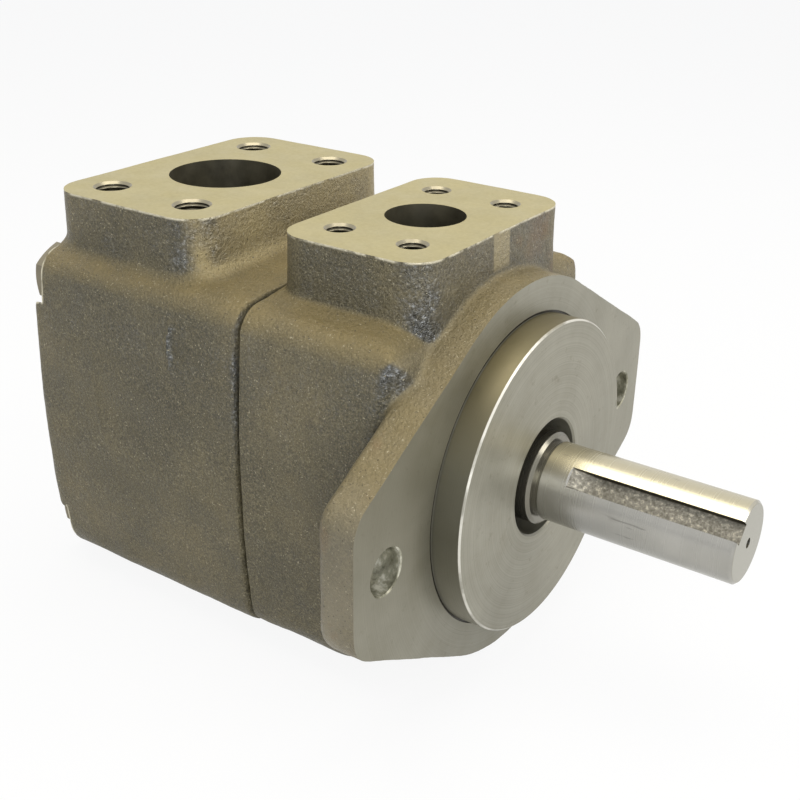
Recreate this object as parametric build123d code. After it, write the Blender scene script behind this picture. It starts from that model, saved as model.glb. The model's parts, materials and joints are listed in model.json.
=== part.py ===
from build123d import *
import os
from math import acos, atan2, cos, pi, radians, sin, sqrt, tan

# Hydraulic vane pump with a two-bolt mounting flange and two four-bolt flange ports.
# Millimetres. Origin: centre of the mounting flange face, on the shaft axis.
# +X runs out along the drive shaft, +Z points up to the port faces.

# ---- mounting flange and pilot (SAE J744 size B, two bolts) ----
PILOT_DIAMETER = 101.6
PILOT_HEIGHT = 9.53
PILOT_CHAMFER = 0.6
PILOT_GROOVE_WIDTH = 1.0
PILOT_GROOVE_DEPTH = 0.6
FLANGE_THICKNESS = 12.7
FLANGE_BOLT_SPACING = 146.05
FLANGE_HOLE_DIAMETER = 14.27
FLANGE_LENGTH = 176.0
FLANGE_CENTRE_RADIUS = 62.5
EAR_END_HALF_HEIGHT = 21.0
EAR_CORNER_RADIUS = 11.0
FLANGE_BACK_ROUND = 3.0

# ---- casting section, shared by the front body and the rear cover ----
SEAM_DEPTH = 65.0
BOLT_EDGE_Y = 12.2
BOLT_EDGE_TOP = 11.2
BOLT_EDGE_BASE = 13.2
SIDE_CROWN = 3.5
BASE_CROWN = 2.0
TOP_CORNER_RADIUS = 9.0
BOTTOM_CORNER_RADIUS = 13.0
BODY_FRONT_DEPTH = 9.0
BODY_FRONT_ROUND = 14.0
COVER_EDGE_ROUND = 4.0
COVER_OVERSIZE = 0.8

# ---- ports on top (SAE J518 four-bolt flange ports) ----
PORT_FACE_HEIGHT = 76.2
BOSS_DRAFT = 1.5
BOSS_ROOT_ROUND = 6.0
BOSS_CORNER_REACH = 10.0
THREAD_CHAMFER = 0.9

OUTLET_PORT_DEPTH = 38.1
OUTLET_BORE_DIAMETER = 25.4
OUTLET_BOLT_ALONG = 26.19
OUTLET_BOLT_ACROSS = 52.37
OUTLET_TAP_DIAMETER = 7.94
OUTLET_TAP_DEPTH = 18.0
OUTLET_BOSS_LENGTH = 53.0
OUTLET_BOSS_WIDTH = 83.0
OUTLET_BOSS_CORNER = 10.5
OUTLET_BOSS_SHIFT = 0.5

INLET_PORT_DEPTH = 120.65
INLET_BORE_DIAMETER = 38.1
INLET_BOLT_ALONG = 35.71
INLET_BOLT_ACROSS = 69.85
INLET_TAP_DIAMETER = 10.8
INLET_TAP_DEPTH = 21.0
INLET_BOSS_LENGTH = 64.6
INLET_BOSS_WIDTH = 99.0
INLET_BOSS_CORNER = 11.5
INLET_BOSS_SHIFT = 0.3
COVER_BEHIND_PORT = 37.35

PORT_BORE_LENGTH = 25.0
DUCT_SIDE_ROOM = 1.5
DUCT_END_WALL = 2.0
DUCT_CORNER = 8.0
DUCT_FLOOR_WALL = 5.0
DUCT_FLOOR_ANGLE = 45.0

# ---- cover bolts (1/2 inch, hex head) ----
COVER_BOLT_DIAMETER = 12.7
COVER_BOLT_HOLE = 14.0
COVER_BOLT_LEAN = 45.6
COVER_BOLT_WALL = 2.9
COVER_BOLT_GRIP_IN_BODY = 22.0
HEX_ACROSS_FLATS = 19.05
HEX_HEIGHT = 8.0
SPOT_FACE_DIAMETER = 28.0
SPOT_FACE_DEPTH = 5.4
TAP_BOTTOM_ROOM = 4.0
BOLT_TIP_CHAMFER = 1.2
HEX_TOP_CHAMFER = 0.9
HEX_TOP_SLOPE = 30.0
HEX_TURN = 30.0

# ---- drive shaft ----
EXTENSION_END = 75.0
EXTENSION_DIAMETER = 25.4
EXTENSION_CHAMFER = 0.8
EXTENSION_START = 13.3
RELIEF_WIDTH = 1.8
RELIEF_DIAMETER = 24.2
JOURNAL_DIAMETER = 30.0
JOURNAL_CHAMFER = 1.0
KEY_WIDTH = 6.35
KEYWAY_FLOOR = 9.1
KEYWAY_START = 21.5
KEYWAY_CUTTER_RADIUS = 13.5
KEYWAY_ANGLE = 138.0
CENTRE_HOLE_DIAMETER = 3.2
CENTRE_HOLE_DEPTH = 6.0
COLLAR_DIAMETER = 36.0
COLLAR_WIDTH = 3.0
MIDDLE_DIAMETER = 28.0
SPLINE_TEETH = 16
SPLINE_DIAMETER = 26.0
SPLINE_ROOT_DIAMETER = 22.4
SPLINE_TIP_SHARE = 0.4
SPLINE_FOOT_SHARE = 0.68
TAIL_DIAMETER = 20.0
TAIL_SETBACK = 1.0

# ---- shaft seal ----
FRONT_BORE_DIAMETER = 38.1
SEAL_DIAMETER = 50.0
SEAL_WIDTH = 8.0
SEAL_FACE_DEPTH = 1.5
SEAL_CASE_WALL = 1.6
SEAL_LIP_WIDTH = 4.6
SEAL_WEB_CLEAR = 4.6
SEAL_LIP_LIFT = 1.1
SEAL_EDGE_BACK = 2.76
SPRING_BACK = 3.22
SPRING_WIRE = 1.5

# ---- ball bearing (30 x 62 x 16) ----
BEARING_DIAMETER = 62.0
BEARING_WIDTH = 16.0
BEARING_DEPTH = 12.5
BALL_DIAMETER = 9.525
BALL_COUNT = 9
BALL_PITCH_RADIUS = 23.0
GROOVE_RATIO = 0.52
RACE_SHOULDER = 2.4
CAGE_WALL = 3.2
CAGE_WIDTH = 13.0
CAGE_POCKET_ROOM = 0.15
BODY_RING_WIDTH = 1.6
BODY_RING_WALL = 3.4
BODY_RING_BITE = 1.4
SHAFT_RING_WIDTH = 1.5
SHAFT_RING_WALL = 3.0
SHAFT_RING_BITE = 0.9
RING_GAP = 7.0
RING_LAND = 1.0

# ---- cartridge ----
CARTRIDGE_DIAMETER = 88.0
HUB_DIAMETER = 66.0
HUB_FRONT_DEPTH = 33.5
HUB_BORE_DIAMETER = 34.0
DISC_OVERHANG = 3.0
DISC_THICKNESS = 10.0
DISC_SHOULDER = 3.0
DISCHARGE_LENGTH = 11.0
FLEX_PLATE_THICKNESS = 3.5
RING_WIDTH = 32.0
INLET_PLATE_THICKNESS = 14.0
ROTOR_DIAMETER = 59.6
CAM_MINOR_DIAMETER = 60.0
CAM_MAJOR_DIAMETER = 68.0
CAM_DWELL = 38.0
VANE_COUNT = 10
VANE_THICKNESS = 2.4
VANE_HEIGHT = 10.5
VANE_TIP_BEVEL = 0.7
SLOT_BOTTOM_RADIUS = 17.5
INSERT_WIDTH = 12.0
INSERT_HEIGHT = 4.0
INSERT_HEADROOM = 0.6
KIDNEY_WIDTH = 6.0
KIDNEY_RADIUS = 30.5
KIDNEY_SWEEP = 34.0
UNDERVANE_WIDTH = 2.4
FLEX_BORE_ROOM = 1.5
PASSAGE_WALL = 1.5
PIN_DIAMETER = 4.0
SCREW_DIAMETER = 5.0
SCREW_HEAD_DIAMETER = 8.5
SCREW_HEAD_HEIGHT = 5.0
SCREW_SOCKET = 4.0
SCREW_GRIP = 7.0
BUSHING_WALL = 2.5
BUSHING_LENGTH = 11.0

# ---- rings and grooves ----
COVER_RING_SECTION = 3.0
COVER_RING_WALL = 2.3
DISC_RING_SECTION = 2.4
HUB_RING_SECTION = 3.0
HUB_BACKUP_WIDTH = 1.4
HUB_GROOVE_DEPTH = 36.0
RING_SQUEEZE = 0.85
RING_CORNER_SHARE = 1 / 3

# ---- chambers ----
CHAMBER_ROOM = 4.5
COVER_LIP = 3.0
COVER_LIP_ROOM = 1.0
REAR_WALL = 12.0

# ---- clearances ----
SEAT_ROOM = 0.05
RUNNING_ROOM = 0.03
RING_ROOM = 0.05
VANE_SIDE_ROOM = 0.03
PAST = 1.0

# ---- how shared edges are found ----
MEET_TOLERANCE = 0.001
PROBE_SHARE = 0.37

# ---- places worked out from the sizes above (x along the shaft) ----
REAR_DEPTH = INLET_PORT_DEPTH + COVER_BEHIND_PORT
DISC_REAR = -SEAM_DEPTH
DISC_FRONT = DISC_REAR + DISC_THICKNESS
DISCHARGE_FRONT = DISC_FRONT + DISCHARGE_LENGTH
HUB_FRONT = -HUB_FRONT_DEPTH
OUTLET_FLEX_REAR = DISC_REAR - FLEX_PLATE_THICKNESS
CAM_REAR = OUTLET_FLEX_REAR - RING_WIDTH
INLET_FLEX_REAR = CAM_REAR - FLEX_PLATE_THICKNESS
INLET_PLATE_REAR = INLET_FLEX_REAR - INLET_PLATE_THICKNESS
CHAMBER_REAR = -REAR_DEPTH + REAR_WALL
BEARING_FRONT = -BEARING_DEPTH
BEARING_REAR = BEARING_FRONT - BEARING_WIDTH
BODY_RING_REAR = BEARING_REAR - BODY_RING_WIDTH
SEAL_FRONT = -SEAL_FACE_DEPTH
SEAL_REAR = SEAL_FRONT - SEAL_WIDTH
COLLAR_REAR = BEARING_REAR - COLLAR_WIDTH
ROTOR_FRONT = OUTLET_FLEX_REAR - RUNNING_ROOM
ROTOR_REAR = CAM_REAR + RUNNING_ROOM
TAIL_END = INLET_PLATE_REAR + TAIL_SETBACK
DISC_DIAMETER = CARTRIDGE_DIAMETER + 2 * DISC_OVERHANG
SCREW_HOLE = SCREW_DIAMETER + 2 * SEAT_ROOM
SCREW_HEAD_HOLE = SCREW_HEAD_DIAMETER + 2 * SEAT_ROOM
SPLINE_PASSAGE = SPLINE_DIAMETER / 2 + FLEX_BORE_ROOM
PIN_RADIUS = (CAM_MAJOR_DIAMETER + CARTRIDGE_DIAMETER) / 4
COVER_CHAMBER_RADIUS = CARTRIDGE_DIAMETER / 2 + CHAMBER_ROOM
SPOT_FACE = -REAR_DEPTH + SPOT_FACE_DEPTH
PORT_BORE_END = PORT_FACE_HEIGHT - PORT_BORE_LENGTH
DISC_POCKET_RADIUS = DISC_DIAMETER / 2 + SEAT_ROOM
DISCHARGE_RADIUS = DISC_POCKET_RADIUS - DISC_SHOULDER
HUB_SEAT_RADIUS = HUB_DIAMETER / 2 + SEAT_ROOM
VANE_PITCH = 360.0 / VANE_COUNT
CAM_MINOR = CAM_MINOR_DIAMETER / 2
CAM_MAJOR = CAM_MAJOR_DIAMETER / 2
BALL_X = (BEARING_FRONT + BEARING_REAR) / 2
SPLINE_START = OUTLET_FLEX_REAR + FLEX_PLATE_THICKNESS
SPLINE_END = CAM_REAR
OUTLET_BOSS_DEPTH = OUTLET_PORT_DEPTH - OUTLET_BOSS_SHIFT
INLET_BOSS_DEPTH = INLET_PORT_DEPTH - INLET_BOSS_SHIFT
OUTLET_DUCT_FLOOR = HUB_SEAT_RADIUS + DUCT_FLOOR_WALL
INLET_DUCT_FLOOR = COVER_CHAMBER_RADIUS * cos(radians(DUCT_FLOOR_ANGLE))
COVER_GROOVE_DEPTH = COVER_RING_SECTION * RING_SQUEEZE
COVER_GROOVE_INNER = DISC_POCKET_RADIUS + COVER_RING_WALL
COVER_GROOVE_OUTER = COVER_GROOVE_INNER + COVER_RING_SECTION + 2 * RING_ROOM
COVER_BOLT_CIRCLE = COVER_GROOVE_OUTER + COVER_BOLT_WALL + COVER_BOLT_DIAMETER / 2
COVER_BOLT_HALF_PITCH_Y = COVER_BOLT_CIRCLE * cos(radians(COVER_BOLT_LEAN))
COVER_BOLT_HALF_PITCH_Z = COVER_BOLT_CIRCLE * sin(radians(COVER_BOLT_LEAN))
BODY_HALF_WIDTH = COVER_BOLT_HALF_PITCH_Y + BOLT_EDGE_Y
BODY_TOP = COVER_BOLT_HALF_PITCH_Z + BOLT_EDGE_TOP
BODY_BOTTOM = COVER_BOLT_HALF_PITCH_Z + BOLT_EDGE_BASE
DISC_GROOVE_RADIUS = DISC_DIAMETER / 2 - DISC_RING_SECTION * RING_SQUEEZE
DISC_GROOVE_REAR = (DISC_REAR + DISC_FRONT - DISC_RING_SECTION) / 2 - RING_ROOM
DISC_GROOVE_FRONT = (DISC_REAR + DISC_FRONT + DISC_RING_SECTION) / 2 + RING_ROOM
HUB_GROOVE_RADIUS = HUB_DIAMETER / 2 - HUB_RING_SECTION * RING_SQUEEZE
HUB_GROOVE_REAR = -HUB_GROOVE_DEPTH - HUB_BACKUP_WIDTH - HUB_RING_SECTION - 2 * RING_ROOM
SEAL_WEB_RADIUS = JOURNAL_DIAMETER / 2 + SEAL_WEB_CLEAR
BUSHING_OUTER = TAIL_DIAMETER / 2 + BUSHING_WALL
OUTLET_ANGLES = (135, 315)
INLET_ANGLES = (45, 225)
PIN_ANGLES = (0, 180)
SCREW_ANGLES = (90, 270)
RAMP_STEPS = 6

os.makedirs("parts", exist_ok=True)


def save(shape, name):
    """Write one sub-part."""
    shape.label = name
    export_step(shape, f"parts/{name}.step")


def rod(radius, start, end):
    """Solid cylinder along the shaft axis between two x values."""
    low, high = min(start, end), max(start, end)
    return Pos(low, 0, 0) * Rot(0, 90, 0) * Cylinder(
        radius, high - low, align=(Align.CENTER, Align.CENTER, Align.MIN))


def tube(outer, inner, start, end):
    """Ring along the shaft axis between two x values."""
    low, high = min(start, end), max(start, end)
    return rod(outer, low, high) - rod(inner, low - PAST, high + PAST)


def turned(points):
    """Solid of revolution about the shaft axis from (x, radius) corners."""
    outline = Polyline(*[(x, 0, radius) for x, radius in points], close=True)
    return revolve(make_face(outline), Axis.X)


def ring_of_wire(radius, wire, x):
    """Torus about the shaft axis."""
    return Pos(x, 0, 0) * Rot(0, 90, 0) * Torus(radius, wire)


def post(radius, x, y, top, bottom):
    """Vertical cylinder between two heights."""
    return Pos(x, y, bottom) * Cylinder(
        radius, top - bottom, align=(Align.CENTER, Align.CENTER, Align.MIN))


def on_axis(sketch, start, end):
    """Extrude a sketch drawn in (y, z) from one x to another."""
    low, high = min(start, end), max(start, end)
    plane = Plane(origin=(low, 0, 0), x_dir=(0, 1, 0), z_dir=(1, 0, 0))
    return extrude(plane * sketch, high - low)


def turn(shape, angle):
    """Turn a shape about the shaft axis."""
    return Rot(angle, 0, 0) * shape


def corners(half_y, half_z):
    """The four places of a rectangular pattern in (y, z)."""
    return [(y, z) for y in (-half_y, half_y) for z in (-half_z, half_z)]


# ---- castings ----

def casting_outline(grow):
    """Crowned square section of the castings, in (y, z)."""
    side = BODY_HALF_WIDTH + grow
    top = BODY_TOP + grow
    base = -BODY_BOTTOM - grow
    middle = (top + base) / 2
    edges = [
        ThreePointArc((-side, base), (-side - SIDE_CROWN, middle), (-side, top)),
        ThreePointArc((-side, top), (0, top + BASE_CROWN), (side, top)),
        ThreePointArc((side, top), (side + SIDE_CROWN, middle), (side, base)),
        ThreePointArc((side, base), (0, base - BASE_CROWN), (-side, base)),
    ]
    section = make_face(edges)
    section = fillet(section.vertices().filter_by(lambda v: v.Y > 0), TOP_CORNER_RADIUS)
    return fillet(section.vertices().group_by(Axis.Y)[0], BOTTOM_CORNER_RADIUS)


def boss(depth, length, width, corner):
    """Port boss with drafted sides, reaching down into the casting."""
    plane = Plane(origin=(-depth, 0, PORT_FACE_HEIGHT), x_dir=(1, 0, 0), z_dir=(0, 0, 1))
    top = plane * RectangleRounded(length, width, corner)
    reach = PORT_FACE_HEIGHT - BODY_TOP + BOSS_CORNER_REACH
    return extrude(top, -reach, taper=-BOSS_DRAFT)


def meeting_edges(whole, first, second):
    """Edges of a union that lie on the surfaces of both solids."""
    found = []
    for edge in whole.edges():
        spot = Vertex(edge.position_at(PROBE_SHARE))
        if all(min(face.distance_to(spot) for face in solid.faces()) < MEET_TOLERANCE
               for solid in (first, second)):
            found.append(edge)
    return found


def join_with_fillet(first, second, radius):
    """Union of two solids with a cast fillet where they meet."""
    whole = first + second
    return fillet(meeting_edges(whole, first, second), radius)


def port_cuts(depth, bore, along, across, tap, tap_depth):
    """Bore, tapped holes and their chamfers of one flange port."""
    cuts = post(bore / 2, -depth, 0, PORT_FACE_HEIGHT + PAST, PORT_BORE_END)
    for x in (-depth - along / 2, -depth + along / 2):
        for y in (-across / 2, across / 2):
            cuts += post(tap / 2, x, y, PORT_FACE_HEIGHT + PAST, PORT_FACE_HEIGHT - tap_depth)
            cuts += Pos(x, y, PORT_FACE_HEIGHT - THREAD_CHAMFER) * Cone(
                tap / 2, tap / 2 + THREAD_CHAMFER, THREAD_CHAMFER,
                align=(Align.CENTER, Align.CENTER, Align.MIN))
    return cuts


def duct(front, rear, width, floor):
    """Cored passage under a port bore."""
    length = front - rear
    plan = Pos((front + rear) / 2, 0, floor) * RectangleRounded(length, width, DUCT_CORNER)
    return extrude(plan, PORT_BORE_END - floor)


def flange_outline():
    """Two-bolt flange: a round middle with straight flanks to two ears, in (y, z)."""
    ear_y, ear_z = FLANGE_LENGTH / 2, EAR_END_HALF_HEIGHT
    lean = atan2(ear_y, ear_z) - acos(FLANGE_CENTRE_RADIUS / sqrt(ear_y ** 2 + ear_z ** 2))
    touch_y = FLANGE_CENTRE_RADIUS * sin(lean)
    touch_z = FLANGE_CENTRE_RADIUS * cos(lean)
    ears = make_face(Polyline(
        (touch_y, touch_z), (ear_y, ear_z), (ear_y, -ear_z), (touch_y, -touch_z),
        (-touch_y, -touch_z), (-ear_y, -ear_z), (-ear_y, ear_z), (-touch_y, touch_z), close=True))
    ends = ears.vertices().filter_by(lambda v: abs(v.X) > ear_y - MEET_TOLERANCE)
    ears = fillet(ends, EAR_CORNER_RADIUS)
    return ears + Circle(FLANGE_CENTRE_RADIUS)


def rounded_front():
    """Space inside which the body's front end is rounded, in plan and in side view."""
    reach = 2 * BODY_HALF_WIDTH
    front = -BODY_FRONT_DEPTH
    half_y = BODY_HALF_WIDTH + SIDE_CROWN
    top, base = BODY_TOP + BASE_CROWN, -BODY_BOTTOM - BASE_CROWN
    plan = Pos(front - reach, 0) * Rectangle(2 * reach, 2 * half_y)
    plan = fillet(plan.vertices().group_by(Axis.X)[-1], BODY_FRONT_ROUND)
    side = Pos(front - reach, (top + base) / 2) * Rectangle(2 * reach, top - base)
    side = fillet(side.vertices().group_by(Axis.X)[-1], BODY_FRONT_ROUND)
    side_plane = Plane(origin=(0, reach, 0), x_dir=(1, 0, 0), z_dir=(0, -1, 0))
    return extrude(Pos(0, 0, -reach) * plan, 2 * reach) & extrude(side_plane * side, 2 * reach)


def front_body():
    """Front casting: flange, pilot, outlet boss and the pockets for seal, bearing and cartridge."""
    outlet_boss = boss(OUTLET_BOSS_DEPTH, OUTLET_BOSS_LENGTH, OUTLET_BOSS_WIDTH, OUTLET_BOSS_CORNER)
    prism = on_axis(casting_outline(0), -SEAM_DEPTH, OUTLET_BOSS_LENGTH)
    body = join_with_fillet(prism, outlet_boss, BOSS_ROOT_ROUND)
    body = (body & rounded_front()) + outlet_boss
    flange = on_axis(flange_outline(), -FLANGE_THICKNESS, 0)
    flange = fillet(flange.faces().sort_by(Axis.X)[0].edges(), FLANGE_BACK_ROUND)
    body += flange
    body -= Pos(-SEAM_DEPTH - FLANGE_LENGTH / 2, 0, 0) * Box(FLANGE_LENGTH, FLANGE_LENGTH, FLANGE_LENGTH)
    pilot = rod(PILOT_DIAMETER / 2, -PILOT_GROOVE_DEPTH - PAST, PILOT_HEIGHT)
    pilot = chamfer(pilot.faces().sort_by(Axis.X)[-1].edges(), PILOT_CHAMFER)
    body -= rod(PILOT_DIAMETER / 2 + PILOT_GROOVE_WIDTH, -PILOT_GROOVE_DEPTH, PAST)
    body += pilot

    body -= port_cuts(OUTLET_PORT_DEPTH, OUTLET_BORE_DIAMETER, OUTLET_BOLT_ALONG,
                      OUTLET_BOLT_ACROSS, OUTLET_TAP_DIAMETER, OUTLET_TAP_DEPTH)
    half = OUTLET_BORE_DIAMETER / 2 + DUCT_SIDE_ROOM
    body -= duct(-OUTLET_PORT_DEPTH + half, DISC_FRONT + DUCT_END_WALL, 2 * half, OUTLET_DUCT_FLOOR)
    body -= rod(FRONT_BORE_DIAMETER / 2, PILOT_HEIGHT + PAST, SEAL_FRONT)
    body -= rod(SEAL_DIAMETER / 2, SEAL_FRONT, BEARING_FRONT)
    body -= rod(BEARING_DIAMETER / 2, BEARING_FRONT, BODY_RING_REAR - RING_LAND)
    body -= rod(BEARING_DIAMETER / 2 + BODY_RING_BITE, BEARING_REAR, BODY_RING_REAR)
    body -= rod(HUB_SEAT_RADIUS, BODY_RING_REAR - RING_LAND, DISCHARGE_FRONT)
    body -= rod(DISCHARGE_RADIUS, DISCHARGE_FRONT, DISC_FRONT)
    body -= rod(DISC_POCKET_RADIUS, DISC_FRONT, -SEAM_DEPTH - PAST)
    groove_end = -SEAM_DEPTH + COVER_GROOVE_DEPTH
    body -= tube(COVER_GROOVE_OUTER, COVER_GROOVE_INNER, -SEAM_DEPTH - PAST, groove_end)
    for y in (-FLANGE_BOLT_SPACING / 2, FLANGE_BOLT_SPACING / 2):
        body -= Pos(0, y, 0) * rod(FLANGE_HOLE_DIAMETER / 2, -FLANGE_THICKNESS - PAST, PAST)
    tap_end = -SEAM_DEPTH + COVER_BOLT_GRIP_IN_BODY + TAP_BOTTOM_ROOM
    for y, z in corners(COVER_BOLT_HALF_PITCH_Y, COVER_BOLT_HALF_PITCH_Z):
        body -= Pos(0, y, z) * rod(COVER_BOLT_DIAMETER / 2 + SEAT_ROOM, -SEAM_DEPTH - PAST, tap_end)
    return body


def rear_cover():
    """Rear casting: inlet boss, chamber round the cartridge, corners spot-faced for the bolts."""
    cover = on_axis(casting_outline(COVER_OVERSIZE), -REAR_DEPTH, -SEAM_DEPTH)
    cover = fillet(cover.faces().sort_by(Axis.X)[0].edges(), COVER_EDGE_ROUND)
    inlet_boss = boss(INLET_BOSS_DEPTH, INLET_BOSS_LENGTH, INLET_BOSS_WIDTH, INLET_BOSS_CORNER)
    cover = join_with_fillet(cover, inlet_boss, BOSS_ROOT_ROUND)
    cover -= port_cuts(INLET_PORT_DEPTH, INLET_BORE_DIAMETER, INLET_BOLT_ALONG,
                       INLET_BOLT_ACROSS, INLET_TAP_DIAMETER, INLET_TAP_DEPTH)
    half = INLET_BORE_DIAMETER / 2 + DUCT_SIDE_ROOM
    cover -= duct(-INLET_PORT_DEPTH + half, -INLET_PORT_DEPTH - half, 2 * half, INLET_DUCT_FLOOR)
    lip_end = -SEAM_DEPTH - COVER_LIP
    cover -= rod(CARTRIDGE_DIAMETER / 2 + COVER_LIP_ROOM, -SEAM_DEPTH + PAST, lip_end)
    cover -= rod(COVER_CHAMBER_RADIUS, lip_end, CHAMBER_REAR)
    for y, z in corners(COVER_BOLT_HALF_PITCH_Y, COVER_BOLT_HALF_PITCH_Z):
        cover -= Pos(0, y, z) * rod(COVER_BOLT_HOLE / 2, -REAR_DEPTH - PAST, -SEAM_DEPTH + PAST)
        cover -= Pos(0, y, z) * rod(SPOT_FACE_DIAMETER / 2, -REAR_DEPTH - PAST, SPOT_FACE)
    return cover


def cover_bolt():
    """Hex-head bolt on the shaft axis, head at the spot face and shank towards the body."""
    tip = -SEAM_DEPTH + COVER_BOLT_GRIP_IN_BODY
    shank = rod(COVER_BOLT_DIAMETER / 2, SPOT_FACE, tip)
    shank = chamfer(shank.faces().sort_by(Axis.X)[-1].edges(), BOLT_TIP_CHAMFER)
    flat = Rot(0, 0, HEX_TURN) * RegularPolygon(HEX_ACROSS_FLATS / 2, 6, major_radius=False)
    corner_radius = HEX_ACROSS_FLATS / sqrt(3)
    dome = rod(corner_radius, SPOT_FACE - HEX_HEIGHT, SPOT_FACE)
    dome = chamfer(dome.faces().sort_by(Axis.X)[0].edges(), HEX_TOP_CHAMFER,
                   HEX_TOP_CHAMFER / tan(radians(HEX_TOP_SLOPE)))
    return shank + (on_axis(flat, SPOT_FACE - HEX_HEIGHT, SPOT_FACE) & dome)


def cover_bolts():
    bolt = cover_bolt()
    places = corners(COVER_BOLT_HALF_PITCH_Y, COVER_BOLT_HALF_PITCH_Z)
    return Compound(children=[Pos(0, y, z) * bolt for y, z in places])


def square_ring(inner, outer, start, end, corner):
    """Rubber ring as it lies squeezed in its groove."""
    section = Pos((start + end) / 2, (inner + outer) / 2) * RectangleRounded(
        abs(end - start), outer - inner, corner)
    return revolve(section, Axis.X)


def cover_o_ring():
    return square_ring(COVER_GROOVE_INNER + RING_ROOM, COVER_GROOVE_OUTER - RING_ROOM,
                       -SEAM_DEPTH + RING_ROOM / 2, -SEAM_DEPTH + COVER_GROOVE_DEPTH - RING_ROOM / 2,
                       COVER_RING_SECTION * RING_CORNER_SHARE)


# ---- bearing, retaining rings and shaft seal ----

def bearing_outer_race():
    groove = GROOVE_RATIO * BALL_DIAMETER
    floor = BALL_PITCH_RADIUS + BALL_DIAMETER / 2 + RUNNING_ROOM
    race = tube(BEARING_DIAMETER / 2, floor - RACE_SHOULDER, BEARING_FRONT, BEARING_REAR)
    return race - ring_of_wire(floor - groove, groove, BALL_X)


def bearing_inner_race():
    groove = GROOVE_RATIO * BALL_DIAMETER
    floor = BALL_PITCH_RADIUS - BALL_DIAMETER / 2 - RUNNING_ROOM
    race = tube(floor + RACE_SHOULDER, JOURNAL_DIAMETER / 2, BEARING_FRONT, BEARING_REAR)
    return race - ring_of_wire(floor + groove, groove, BALL_X)


def ball_places():
    return [turn(Pos(BALL_X, BALL_PITCH_RADIUS, 0), 360.0 * i / BALL_COUNT) for i in range(BALL_COUNT)]


def bearing_cage():
    inner, outer = BALL_PITCH_RADIUS - CAGE_WALL / 2, BALL_PITCH_RADIUS + CAGE_WALL / 2
    cage = tube(outer, inner, BALL_X - CAGE_WIDTH / 2, BALL_X + CAGE_WIDTH / 2)
    pocket = Pos(BALL_X, BALL_PITCH_RADIUS, 0) * Rot(90, 0, 0) * Cylinder(
        BALL_DIAMETER / 2 + CAGE_POCKET_ROOM, 3 * CAGE_WALL)
    for i in range(BALL_COUNT):
        cage -= turn(pocket, 360.0 * i / BALL_COUNT)
    return cage


def bearing_balls():
    ball = Pos(BALL_X, BALL_PITCH_RADIUS, 0) * Sphere(BALL_DIAMETER / 2)
    return Compound(children=[turn(ball, 360.0 * i / BALL_COUNT) for i in range(BALL_COUNT)])


def snap_ring(outer, inner, start, end):
    """Retaining ring, open at the bottom."""
    middle = -(outer + inner) / 2
    gap = Pos((start + end) / 2, 0, middle) * Box(3 * abs(end - start), RING_GAP, 2 * (outer - inner))
    return tube(outer, inner, start, end) - gap


def bearing_retaining_ring():
    outer = BEARING_DIAMETER / 2 + BODY_RING_BITE
    return snap_ring(outer, outer - BODY_RING_WALL, BEARING_REAR, BODY_RING_REAR)


def shaft_retaining_ring():
    inner = JOURNAL_DIAMETER / 2 - SHAFT_RING_BITE
    return snap_ring(inner + SHAFT_RING_WALL, inner, BEARING_FRONT + SHAFT_RING_WIDTH, BEARING_FRONT)


def shaft_seal_case():
    outer = SEAL_DIAMETER / 2
    web = SEAL_FRONT - SEAL_CASE_WALL
    return turned([(SEAL_FRONT, outer), (SEAL_REAR, outer), (SEAL_REAR, outer - SEAL_CASE_WALL),
                   (web, outer - SEAL_CASE_WALL), (web, SEAL_WEB_RADIUS), (SEAL_FRONT, SEAL_WEB_RADIUS)])


def garter_place():
    return (SEAL_FRONT - SEAL_CASE_WALL - SPRING_BACK, SEAL_WEB_RADIUS)


def shaft_seal_lip():
    front = SEAL_FRONT - SEAL_CASE_WALL
    edge = front - SEAL_EDGE_BACK
    rear = front - SEAL_LIP_WIDTH
    rim = SEAL_DIAMETER / 2 - SEAL_CASE_WALL
    shaft = JOURNAL_DIAMETER / 2
    lip = turned([(front, rim), (front, shaft + SEAL_LIP_LIFT), (edge, shaft + RUNNING_ROOM),
                  (rear, shaft + SEAL_LIP_LIFT), (rear, SEAL_WEB_RADIUS),
                  (front - SEAL_CASE_WALL, SEAL_WEB_RADIUS), (front - SEAL_CASE_WALL, rim)])
    x, radius = garter_place()
    return lip - ring_of_wire(radius, SPRING_WIRE / 2, x)


def seal_garter_spring():
    x, radius = garter_place()
    return ring_of_wire(radius, SPRING_WIRE / 2, x)


# ---- cartridge ----

def cam_radius(angle):
    """Radius of the cam track at an angle in degrees from +Y towards +Z."""
    folded = abs((angle + 90) % 180 - 90)
    ramp = 90 - CAM_DWELL
    share = min(max((folded - CAM_DWELL / 2) / ramp, 0), 1)
    return CAM_MINOR + (CAM_MAJOR - CAM_MINOR) * (1 - cos(pi * share)) / 2


def polar(radius, angle):
    return (radius * cos(radians(angle)), radius * sin(radians(angle)))


def cam_track():
    """Closed cam track: four dwell arcs joined by four smooth ramps."""
    edges = []
    for quarter in range(4):
        middle = 90 * quarter
        radius = cam_radius(middle)
        leave, arrive = middle + CAM_DWELL / 2, middle + 90 - CAM_DWELL / 2
        edges.append(ThreePointArc(polar(radius, middle - CAM_DWELL / 2), polar(radius, middle),
                                   polar(radius, leave)))
        steps = [leave + (arrive - leave) * i / RAMP_STEPS for i in range(RAMP_STEPS + 1)]
        edges.append(Spline(*[polar(cam_radius(a), a) for a in steps],
                            tangents=[polar(1, leave + 90), polar(1, arrive + 90)]))
    return make_face(edges)


def through_rods(radius, angles, start, end):
    """Cylinders at the pin circle, one at each angle."""
    return [turn(Pos(0, PIN_RADIUS, 0) * rod(radius, start, end), angle) for angle in angles]


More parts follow.
